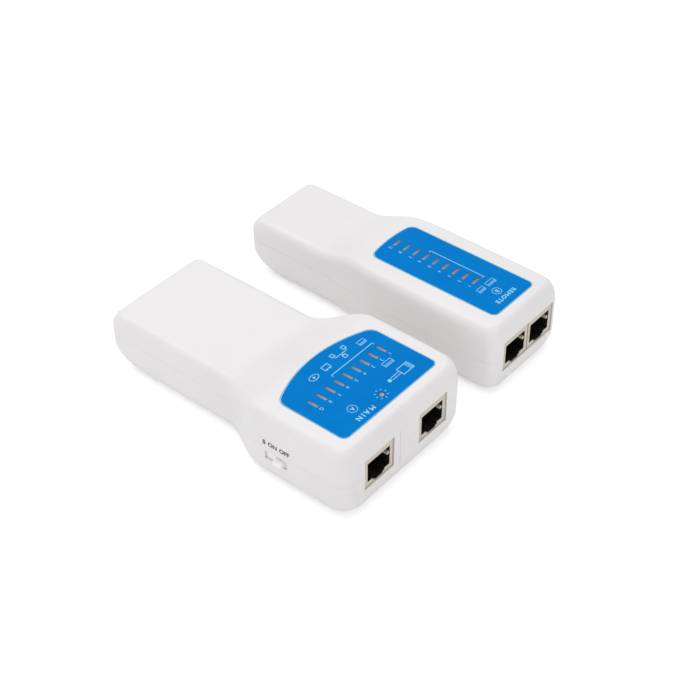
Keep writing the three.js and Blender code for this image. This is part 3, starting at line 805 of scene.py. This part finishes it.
def seam_lip(unit):
    """The standing lip that lines the top cover up."""
    low, high = SEAM_Z - 1, SEAM_Z + 1.2
    root = prism(flat_outline(unit, WALL - 0.5), low, SEAM_Z - 0.4)
    lip = prism(flat_outline(unit, WALL + 0.25), low, high)
    clear = [post(p.x, p.y, (0, high + 1), BOSS_RADIUS + 0.3) for p in screw_places(unit)]
    return cut(add(root, lip), prism(flat_outline(unit, WALL + 1.25), low - 1, high + 1), *clear)


def bottom_solid(unit, inset, steps):
    if inset:
        rim = [wall_level(unit, inset, SEAM_Z + 1)]
        return lofted("solid", bottom_levels(unit, inset, steps) + rim)
    high = SEAM_Z - SEAM_GAP / 2
    return lofted("solid", bottom_levels(unit, 0, steps) + seam_levels(unit, high, 1))


def bottom_shell(unit):
    shell = cut(bottom_solid(unit, 0, 10), bottom_solid(unit, WALL, 5))
    board_low, _ = box_mm(f"{unit['prefix']}_circuit_board")
    parts = [seam_lip(unit)]
    parts += [post(p.x, p.y, (1, BOSS_TOP), BOSS_RADIUS) for p in screw_places(unit)]
    parts += [post(x, y, (1, board_low.z), 2.0) for x, y in unit["stands"]]
    if unit is MAIN:
        parts.append(bay_wall())
    add(shell, *parts)
    cuts = jack_windows(unit)
    for p in screw_places(unit):
        cuts.append(post(p.x, p.y, (-1, SEAT_Z), SCREW_HEAD + SCREW_FIT))
        cuts.append(post(p.x, p.y, (-1, BOSS_TOP + 1), SCREW_SHANK + SCREW_FIT))
    if unit is MAIN:
        cuts += [switch_slot(), block(*PLATE_POCKET), doorway(), door_grooves(), front_groove()]
    cut(shell, *cuts)
    name = unit["prefix"]
    finish_piece(
        shell, f"{name}_bottom_shell", WHITE, unit["body"],
        [f"{name}_bottom_cover"], unit["offset"],
    )


def bay_wall():
    wall = cut(block(*BAY_WALL), block(*BAY_NOTCH))
    return combine(wall, [bottom_solid(MAIN, 1, 5)], "INTERSECT")


def switch_slot():
    return block((-MAIN["head_half"] - 2, -MAIN["head_half"] + 5), SWITCH_SLOT_Y, SWITCH_SLOT_Z)


def doorway():
    half = DOOR_HALF + DOOR_FIT
    return block((-half, half), (DOOR_FRONT_Y, BUTT_Y + 5), (-1, DOOR_TOP + DOOR_FIT))


def door_grooves():
    reach = DOOR_HALF + RAIL_REACH + 0.2
    return block((-reach, reach), (DOOR_FRONT_Y, BUTT_Y + 5), (RAIL_Z[0] - 0.2, RAIL_Z[1] + 0.2))


def battery_door():
    """The piece of shell under the handle, with side rails, a front tongue and a thumb grip."""
    door = cut(bottom_solid(MAIN, 0, 10), bottom_solid(MAIN, WALL, 5))
    opening = block(
        (-DOOR_HALF, DOOR_HALF), (DOOR_FRONT_Y + DOOR_FIT, BUTT_Y + 5), (-1, DOOR_TOP)
    )
    combine(door, [opening], "INTERSECT")
    reach = DOOR_HALF + RAIL_REACH
    rails = block((-reach, reach), RAIL_Y, RAIL_Z)
    across = (-TONGUE["half"], TONGUE["half"])
    back = DOOR_FRONT_Y + TONGUE["reach"]
    root = block(across, (DOOR_FRONT_Y + 0.5, back), (1, TONGUE["top"]))
    front = DOOR_FRONT_Y - TONGUE["reach"]
    tongue = block(across, (front, back), (WALL + 0.2, TONGUE["top"]))
    add(door, rails, root, tongue)
    grips = []
    for i in range(GRIP["count"]):
        y = DOOR_FRONT_Y + GRIP["setback"] + GRIP["pitch"] * i
        along = (y, y + GRIP["width"])
        grips.append(block((-GRIP["half"], GRIP["half"]), along, (-1, GRIP["depth"])))
    cut(door, join_loose(grips))
    finish_piece(
        door, "battery_door_panel", WHITE, "battery_door", ["battery_door"]
    )


# ---- Labels and print ------------------------------------------------------------------------


def stacked(outlines):
    """A closed body through flat outlines of equal length: (points, z) from low to high."""
    count = len(outlines[0][0])
    vertices = [(x, y, z) for points, z in outlines for x, y in points]
    faces = [tuple(reversed(range(count)))]
    for level in range(len(outlines) - 1):
        for i in range(count):
            a = level * count + i
            b = level * count + (i + 1) % count
            faces.append((a, b, b + count, a + count))
    last = (len(outlines) - 1) * count
    faces.append(tuple(range(last, last + count)))
    return new_object("solid", vertices, faces)


def label_plate(unit):
    plate = stacked(
        [
            (label_outline(unit, 0), HEAD_TOP - LABEL_THICK),
            (label_outline(unit, 0), HEAD_TOP - LABEL_EDGE),
            (label_outline(unit, -LABEL_EDGE), HEAD_TOP),
        ]
    )
    cut(plate, light_slots(unit, 0))
    if unit is MAIN:
        cut(plate, power_light_hole(0))
    name = unit["prefix"]
    finish_piece(
        plate, f"{name}_label_plate", BLUE, unit["body"],
        [f"{name}_label"], unit["offset"],
    )


class Print:
    """Thin printed shapes on one face. matrix takes the face's own x and y to the unit."""

    def __init__(self, matrix, turn=0.0):
        self.bm = bmesh.new()
        self.matrix = matrix
        self.turn = Matrix.Rotation(math.radians(turn), 4, "Z")

    def outline(self, points, hole=None):
        """A filled outline, or the band between an outline and a hole with as many points."""
        def at(point, z):
            return self.bm.verts.new(self.matrix @ Vector((point[0], point[1], z)))

        count = len(points)
        outer = [[at(p, z) for p in points] for z in (-INK, INK)]
        inner = [[at(p, z) for p in hole] for z in (-INK, INK)] if hole else None
        for i in range(count):
            j = (i + 1) % count
            self.bm.faces.new((outer[0][i], outer[0][j], outer[1][j], outer[1][i]))
            if inner:
                self.bm.faces.new((inner[0][j], inner[0][i], inner[1][i], inner[1][j]))
                self.bm.faces.new((outer[1][i], outer[1][j], inner[1][j], inner[1][i]))
                self.bm.faces.new((outer[0][j], outer[0][i], inner[0][i], inner[0][j]))
        if not inner:
            self.bm.faces.new(outer[1])
            self.bm.faces.new(list(reversed(outer[0])))

    def bar(self, start, end, width):
        a, b = Vector(start), Vector(end)
        side = (b - a).normalized().orthogonal() * width / 2
        corners = [a - side, b - side, b + side, a + side]
        if (b - a).cross(side) < 0:
            corners.reverse()
        self.outline(corners)

    def ring(self, x, y, radius, width, stretch=1.0):
        circle = arc(0, 0, 1, 0, 360, 40)[:-1]
        outer = [(x + radius * stretch * c, y + radius * s) for c, s in circle]
        inner = [(x + (radius * stretch - width) * c, y + (radius - width) * s) for c, s in circle]
        self.outline(outer, inner)

    def disc(self, x, y, radius):
        self.outline(arc(x, y, radius, 0, 360, 24)[:-1])

    def frame(self, x, y, half_x, half_y, width):
        def corners(inset):
            a, b = half_x - inset, half_y - inset
            return [(x - a, y - b), (x + a, y - b), (x + a, y + b), (x - a, y + b)]

        self.outline(corners(0), corners(width))

    def word(self, text, x, y, height, spacing=1.0, bold=0.0):
        curve = bpy.data.curves.new("word", "FONT")
        curve.body = text
        curve.align_x = "CENTER"
        curve.align_y = "CENTER"
        curve.size = height * 1.4
        curve.space_character = spacing
        curve.extrude = INK
        curve.offset = bold
        curve.resolution_u = 4
        holder = bpy.data.objects.new("word", curve)
        bpy.context.scene.collection.objects.link(holder)
        bpy.context.view_layer.update()
        graph = bpy.context.evaluated_depsgraph_get()
        mesh = bpy.data.meshes.new_from_object(holder.evaluated_get(graph))
        mesh.transform(self.matrix @ Matrix.Translation((x, y, 0)) @ self.turn)
        self.bm.from_mesh(mesh)
        bpy.data.objects.remove(holder)
        bpy.data.curves.remove(curve)
        bpy.data.meshes.remove(mesh)

    def socket_sign(self, x, y, ways):
        """A small outline of a socket with one tick for each contact."""
        pitch = 0.52
        half_x, half_y = pitch * (ways + 1) / 2, 1.15
        self.frame(x, y, half_x, half_y, 0.2)
        for i in range(ways):
            tick = x + (i - (ways - 1) / 2) * pitch
            self.bar((tick, y - half_y + 0.3), (tick, y), 0.2)

    def finish(self, name, material, body, offset=None):
        bmesh.ops.remove_doubles(self.bm, verts=self.bm.verts[:], dist=0.0005)
        finish_piece(object_from(name, self.bm), name, material, body, (), offset)


def label_edge_highlight(sheet, unit):
    """The pale painted highlight line round the label's edge."""
    sheet.outline(label_outline(unit, -0.02), label_outline(unit, -0.02 - EDGE_HIGHLIGHT))


def network_sign(sheet, x, y):
    """Three boxes joined by lines: one above, two below."""
    arm, drop, half = 3.0, 1.7, 0.9
    for dx, dy in ((0, -drop), (-arm, drop), (arm, drop)):
        sheet.frame(x + dx, y + dy, half, half, 0.32)
    sheet.bar((x, y - drop + half), (x, y), 0.32)
    sheet.bar((x - arm, y), (x + arm, y), 0.32)
    for dx in (-arm, arm):
        sheet.bar((x + dx, y), (x + dx, y + drop - half), 0.32)


def battery_sign(sheet, x, y):
    sheet.frame(x, y, 1.7, 1.15, 0.28)
    for dx in (-0.75, 0.75):
        sheet.bar((x + dx, y - 1.15), (x + dx, y - 1.65), 0.6)


def plug_sign(sheet, x, y):
    """A modular plug with its contacts, and the cable leaving it."""
    sheet.frame(x + 3.4, y, 2.9, 1.9, 0.3)
    for i in range(6):
        tick = y + (i - 2.5) * 0.52
        sheet.bar((x + 4.4, tick), (x + 5.9, tick), 0.2)
    for side in (-0.55, 0.55):
        sheet.bar((x + 0.5, y + side), (x - 4.2, y + side), 0.26)
    sheet.disc(x - 5.2, y, 0.75)


def main_print():
    sheet = Print(Matrix.Translation((0, 0, HEAD_TOP)), turn=180)
    label_edge_highlight(sheet, MAIN)
    for node in light_nodes(MAIN):
        light = centre_of(node)
        sheet.word(node[-1].upper(), light.x, light.y - 3.75, 1.4)
    first, sixth = centre_of("main_led_1"), centre_of("main_led_6")
    line_y = first.y + 4.45
    ends = (first.x + 0.3, sixth.x + 1.2)
    sheet.bar((ends[0], line_y), (ends[1], line_y), 0.3)
    for x in ends:
        sheet.bar((x, line_y + 0.15), (x, line_y - 0.9), 0.3)
    lamp = centre_of("power_led")
    for i in range(8):
        a = math.pi / 4 * i
        ray = Vector((math.cos(a), math.sin(a)))
        middle = Vector((lamp.x, lamp.y))
        sheet.bar(middle + ray * 1.95, middle + ray * 2.55, 0.3)
    sheet.ring(-11.8, -45.5, 1.9, 0.2)
    sheet.word("A", -11.8, -45.5, 1.7, bold=0.03)
    sheet.word("MAIN", -10.6, -50.2, 2.0, spacing=1.5, bold=0.07)
    sheet.socket_sign(14.2, -40.0, 8)
    sheet.socket_sign(17.0, -26.0, 6)
    plug_sign(sheet, 12.4, -46.4)
    network_sign(sheet, 7.6, -24.6)
    battery_sign(sheet, -1.2, -25.0)
    sheet.ring(-8.0, -25.4, 1.4, 0.26, stretch=1.6)
    sheet.disc(-8.0, -25.4, 0.5)
    sheet.finish("main_label_print", PALE_INK_AND_HIGHLIGHT, "main_unit")


def remote_print():
    sheet = Print(Matrix.Translation((0, 0, HEAD_TOP)), turn=180)
    label_edge_highlight(sheet, REMOTE)
    offset = REMOTE["offset"]
    for node in light_nodes(REMOTE):
        light = centre_of(node) - offset
        sheet.word(node[-1].upper(), light.x - 4.0, light.y, 1.4)
    first = centre_of("remote_led_1") - offset
    sixth = centre_of("remote_led_6") - offset
    line_x = first.x + 3.9
    sheet.bar((line_x, first.y - 0.8), (line_x, sixth.y + 0.8), 0.3)
    for y in (first.y - 0.8, sixth.y + 0.8):
        sheet.bar((line_x + 0.15, y), (line_x - 0.9, y), 0.3)
    sheet.ring(0.1, -45.4, 1.9, 0.22)
    sheet.word("B", 0.1, -45.4, 1.7, bold=0.04)
    sheet.word("REMOTE", 0.0, -49.4, 1.8, spacing=1.25, bold=0.07)
    sheet.socket_sign(2.9, -40.5, 8)
    sheet.socket_sign(-2.9, -40.5, 6)
    sheet.finish("remote_label_print", PALE_INK_AND_HIGHLIGHT, "remote_unit", offset)


def switch_print():
    """Position marks above the power switch, read from the -X side."""
    wall = Matrix(((0, 0, -1, -MAIN["head_half"]), (-1, 0, 0, 0), (0, 1, 0, 0), (0, 0, 0, 1)))
    sheet = Print(wall)
    for text, y, bold in (("S", -23.9, 0.16), ("ON", -27.7, 0.11), ("OFF", -33.0, 0.11)):
        sheet.word(text, -y, 17.6, 1.85, bold=bold)
    sheet.finish("switch_print", DARK_INK, "main_unit")


# ---- Sockets ---------------------------------------------------------------------------------


def port_outline(x, z, grow=0.0):
    """Outline of the port: a wide chamber and two steps down to the latch slot."""
    g = grow
    right = [
        (LATCH_HALF + g, z + LATCH_FLOOR - g),
        (LATCH_HALF + g, z + STEP_FLOOR - g),
        (PORT_STEP_HALF + g, z + STEP_FLOOR - g),
        (PORT_STEP_HALF + g, z + CHAMBER_FLOOR - g),
        (PORT_HALF + g, z + CHAMBER_FLOOR - g),
        (PORT_HALF + g, z + PORT_CEILING + g),
    ]
    left = [(-px, pz) for px, pz in reversed(right)]
    return [(x + px, pz) for px, pz in right + left]


def lead_in(x, z, face, depth):
    """A slope round the mouth of the port."""
    levels = [(face - 0.01, depth), (face + depth, 0.0)]
    rings = [[(px, y, pz) for px, pz in port_outline(x, z, grow)] for y, grow in levels]
    count = len(rings[0])
    faces = [tuple(range(count)), tuple(reversed(range(count, 2 * count)))]
    for i in range(count):
        j = (i + 1) % count
        faces.append((j, i, count + i, count + j))
    return new_object("solid", rings[0] + rings[1], faces)


def jack_housing(node, body):
    """An ivory housing whose mouth slopes in to a black-lined port with a keying rib, and a painted
    shadow line on the bevel round its face.
    """
    low, high = box_mm(node)
    x, face, floor = (low.x + high.x) / 2, low.y, low.z
    lining = face + 0.15
    housing = block((low.x, high.x), (low.y, high.y), (low.z, high.z), bevel=JACK_BEVEL)
    cut(housing, prism(port_outline(x, floor), face - 1, lining + 0.05, along="y"))
    cut(housing, lead_in(x, floor, face, 0.1))
    chamber = prism(port_outline(x, floor, -0.1), lining, face + PORT_DEPTH, along="y")
    cut(housing, chamber)
    rib_x = (x + PORT_HALF - 1.15, x + PORT_HALF + 0.3)
    add(housing, block(rib_x, (face + 0.35, face + 3.4), (floor + 6.4, floor + 7.5), bevel=0.12))
    for material in (IVORY, BLACK, JACK_RIM_SHADOW):
        housing.data.materials.append(material)
    for polygon in housing.data.polygons:
        c = polygon.center
        inside = abs(c.x - x) < PORT_HALF + 0.05 and floor + 0.05 < c.z < floor + PORT_CEILING + 0.1
        rib = PORT_HALF - 1.2 < c.x - x < PORT_HALF - 0.15
        rib = rib and floor + 6.3 < c.z < floor + 7.6 and c.y < face + 3.5
        edge = min(c.x - low.x, high.x - c.x, c.z - low.z, high.z - c.z)
        if inside and c.y > lining + 0.01 and not rib:
            polygon.material_index = 1
        # The outer bevel faces get the painted shadow line.
        elif edge < JACK_BEVEL - 0.01:
            polygon.material_index = 2
    finish_piece(housing, f"{node}_housing", IVORY, body, [node])


def jack_contacts(node, body):
    """Eight sprung wires bent back over a comb under the port's ceiling."""
    low, high = box_mm(node)
    x, face = (low.x + high.x) / 2, low.y
    ceiling = low.z + PORT_CEILING
    wires, fins = [], []
    for i in range(CONTACT_COUNT):
        cx = x + (i - (CONTACT_COUNT - 1) / 2) * CONTACT_PITCH
        path = curve_through(
            [
                (cx, face + 11.6, ceiling - 0.45),
                (cx, face + 6.0, ceiling - 0.45),
                (cx, face + 2.0, ceiling - 0.5),
                (cx, face + 1.45, ceiling - 0.85),
                (cx, face + 2.0, ceiling - 1.25),
                (cx, face + 5.6, ceiling - 2.7),
                (cx, face + 9.4, ceiling - 4.3),
            ]
        )
        wires.append(tube("wire", path, CONTACT_RADIUS, 10))
    half = CONTACT_PITCH / 2
    for i in range(CONTACT_COUNT + 1):
        cx = x + (i - CONTACT_COUNT / 2) * CONTACT_PITCH
        height = (ceiling - 1.5, ceiling - 0.1)
        fins.append(block((cx - 0.2, cx + 0.2), (face + 0.9, face + 2.6), height))
    comb = block(
        (x - 4 * CONTACT_PITCH - half, x + 4 * CONTACT_PITCH + half),
        (face + 1.2, face + 11.8), (ceiling - 0.24, ceiling - 0.05),
    )
    finish_piece(
        join_loose(wires), f"{node}_springs", GOLD, body, [f"{node}_contacts"]
    )
    finish_piece(add(comb, *fins), f"{node}_comb", BLACK, body)


# ---- Switch, power lamp, screws, leads -------------------------------------------------------


def switch_knob():
    """The knob outside, the dust plate behind the wall and the stem into the switch."""
    low, high = box_mm("power_switch_slider")
    inner = DUST_PLATE_X[1]
    knob = block((low.x, inner), (-32.9, -28.9), (10.9, 13.0), bevel=0.3, segments=4)
    plate = block(DUST_PLATE_X, (low.y, high.y), (low.z, high.z), bevel=0.1)
    stem = block((inner - 0.1, high.x), (-32.1, -29.7), (11.0, 12.9))
    add(knob, plate, stem)
    finish_piece(
        knob, "switch_knob", KNOB_LIT_WHITE, "power_switch", ["power_switch_slider"]
    )


def power_lamp():
    low, high = box_mm("power_led")
    centre = (low + high) / 2
    radius = LAMP_RADIUS
    collar = LAMP_RADIUS + LAMP_COLLAR
    base = HEAD_TOP - 7.1
    profile = [(0, base), (collar, base), (collar, base + 1), (radius, base + 1)]
    profile += [(r, high.z - radius + z) for r, z in arc(0, 0, radius, 0, 84, 14)]
    profile.append((0, high.z))
    lens = turned(profile, centre.x, centre.y)
    legs = []
    for dx in (-1.27, 1.27):
        x = centre.x + dx
        legs.append(
            block((x - 0.25, x + 0.25), (centre.y - 0.25, centre.y + 0.25), (low.z, base - 0.02))
        )
    lens.data.materials.append(LENS)
    finish_piece(lens, "power_lamp_lens", LENS, "main_unit", ["power_led"])
    finish_piece(join_loose(legs), "power_lamp_legs", STEEL, "main_unit")


def screw(node, body):
    """A pan-head screw seen from below: domed head, cross recess and a cut thread."""
    low, high = box_mm(node)
    x, y = (low.x + high.x) / 2, (low.y + high.y) / 2
    head_z = SEAT_Z - 0.05
    profile = [(0, low.z)]
    for r, z in arc(0, 0, 1, -88, 0, 10):
        profile.append((SCREW_HEAD * r, low.z + 0.7 * (1 + z)))
    profile += [(SCREW_HEAD, head_z), (SCREW_SHANK, head_z)]
    turns = 9
    pitch = (high.z - 1.6 - head_z) / turns
    for i in range(turns):
        z = head_z + pitch * i
        profile += [(SCREW_SHANK - 0.15, z + pitch * 0.3), (SCREW_SHANK + 0.1, z + pitch * 0.55)]
        profile.append((SCREW_SHANK - 0.15, z + pitch * 0.8))
    profile.append((0, high.z))
    body_mesh = turned(profile, x, y, 40)
    depth = (low.z - 1, low.z + 0.8)
    cross = [
        block((x - 1.2, x + 1.2), (y - 0.22, y + 0.22), depth),
        block((x - 0.22, x + 0.22), (y - 1.2, y + 1.2), depth),
    ]
    cut(body_mesh, *cross)
    finish_piece(body_mesh, f"{node}_turned", STEEL, body, [node])


def battery_lead(colour, sign, material):
    node = f"battery_lead_{colour}"
    low, high = box_mm(node)
    mid_z = 12.05
    x = 6.3 * sign
    path = curve_through(
        [
            (x, high.y, mid_z),
            (x, high.y - 1.2, mid_z + 0.1),
            (x * 0.95, -9.5, mid_z - 0.1),
            (x * 0.9, -12.2, mid_z - 1),
            (x * 0.88, -13, low.z + 0.1),
        ]
    )
    lead = tube(node, path, 0.6, 20)
    finish_piece(lead, f"battery_wire_{colour}", material, "main_unit", [node])


# ---- Nodes that stay as they are -------------------------------------------------------------


def dress(node, material, bevel=0.0):
    """Gives a CAD node its material and, where it has hard edges, a small bevel."""
    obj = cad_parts[node]
    obj.data.materials.clear()
    obj.data.materials.append(material)
    for polygon in obj.data.polygons:
        polygon.material_index = 0
    if bevel:
        weld = obj.modifiers.new("weld", "WELD")
        weld.merge_threshold = 0.00001
        flatten = obj.modifiers.new("flatten", "DECIMATE")
        flatten.decimate_type = "DISSOLVE"
        flatten.angle_limit = math.radians(1)
        edge = obj.modifiers.new("edge", "BEVEL")
        edge.width = bevel * MM
        edge.segments = 2
        edge.limit_method = "ANGLE"
        edge.angle_limit = math.radians(40)


def dress_inside():
    dress("main_circuit_board", BOARD)
    dress("remote_circuit_board", BOARD)
    dress("power_switch_body", STEEL, 0.15)
    dress("battery", JACKET, 0.3)
    dress("battery_snap", BLACK, 0.2)
    dress("counter_chip", BLACK, 0.1)
    dress("timer_chip", BLACK, 0.1)
    dress("timing_capacitor", SLEEVE, 0.2)
    for node in light_nodes(MAIN):
        dress(node, LAMP_Y, 0.1)
    for node in light_nodes(REMOTE):
        dress(node, LAMP_X, 0.1)


# ---- Floor, light and camera -----------------------------------------------------------------


def floor():
    half = 3000
    corners = [(-half, -half, 0), (half, -half, 0), (half, half, 0), (-half, half, 0)]
    plane = new_object("floor", corners, [(0, 1, 2, 3)])
    plane.data.transform(Matrix.Scale(MM, 4))
    pale = surface(
        "pale_floor",
        (srgb(248, 248, 248), srgb(251, 251, 251)),
        (0.7, 0.8),
        mottle=3.0,
        grain=400.0,
    )
    glow_under(pale)
    plane.data.materials.append(pale)


def glow_under(material):
    """Lifts the floor towards white as seen by the camera, with little light on the object."""
    nodes, links = material.node_tree.nodes, material.node_tree.links
    share = nodes.new("ShaderNodeMapRange")
    share.inputs["To Min"].default_value = 0.06
    share.inputs["To Max"].default_value = 0.3
    links.new(nodes.new("ShaderNodeLightPath").outputs["Is Camera Ray"], share.inputs["Value"])
    links.new(share.outputs["Result"], nodes["Principled BSDF"].inputs["Emission Strength"])


def area_light(name, place, aim, size, power):
    light = bpy.data.lights.new(name, "AREA")
    light.shape = "SQUARE"
    light.size = size
    light.energy = power
    obj = bpy.data.objects.new(name, light)
    obj.location = place
    obj.rotation_euler = (Vector(aim) - Vector(place)).to_track_quat("-Z", "Y").to_euler()
    bpy.context.scene.collection.objects.link(obj)


def studio():
    world = bpy.data.worlds.new("studio")
    world.use_nodes = True
    sky = world.node_tree.nodes["Background"]
    sky.inputs["Color"].default_value = (1, 1, 1, 1)
    to_eye = world.node_tree.nodes.new("ShaderNodeLightPath").outputs["Is Camera Ray"]
    strength = world.node_tree.nodes.new("ShaderNodeMapRange")
    strength.inputs["To Min"].default_value = 0.59
    strength.inputs["To Max"].default_value = 0.98
    world.node_tree.links.new(to_eye, strength.inputs["Value"])
    world.node_tree.links.new(strength.outputs["Result"], sky.inputs["Strength"])
    bpy.context.scene.world = world
    bpy.context.scene.view_settings.view_transform = "Standard"
    middle = (0.03, 0, 0.01)
    area_light("top_light", (0.1, 0.25, 1.0), middle, 1.2, 5.4)
    area_light("left_light", (-0.9, -0.1, 0.55), middle, 0.9, 1.05)
    area_light("front_light", (-0.1, -1.0, 0.5), middle, 0.9, 0.8)


CAMERA_TURN = (-50.3656, 40.603, -0.2)  # azimuth, elevation and roll in degrees
CAMERA_AIM = (7.49, -28.6, 34.45)  # millimetres
CAMERA_DISTANCE = 0.5522  # metres
CAMERA_LENS = 82.3


def camera():
    azimuth, elevation, roll = (math.radians(angle) for angle in CAMERA_TURN)
    back = Vector(
        (
            math.sin(azimuth) * math.cos(elevation),
            -math.cos(azimuth) * math.cos(elevation),
            math.sin(elevation),
        )
    )
    aim = Vector(CAMERA_AIM) * MM
    data = bpy.data.cameras.new("camera")
    data.lens = CAMERA_LENS
    obj = bpy.data.objects.new("camera", data)
    turn = (-back).to_track_quat("-Z", "Y").to_matrix().to_4x4() @ Matrix.Rotation(roll, 4, "Z")
    obj.matrix_world = Matrix.Translation(aim + back * CAMERA_DISTANCE) @ turn
    bpy.context.scene.collection.objects.link(obj)
    bpy.context.scene.camera = obj


# ---- Assembly --------------------------------------------------------------------------------

for unit in (MAIN, REMOTE):
    top_shell(unit)
    bottom_shell(unit)
    label_plate(unit)
    for jack in jack_nodes(unit):
        jack_housing(jack, unit["body"])
        jack_contacts(jack, unit["body"])
    for number in (1, 2, 3, 4):
        screw(f"{unit['prefix']}_screw_{number}", unit["body"])

main_print()
remote_print()
switch_print()
switch_knob()
power_lamp()
battery_door()
battery_lead("red", 1, RED)
battery_lead("black", -1, BLACK)
dress_inside()
floor()
studio()
camera()
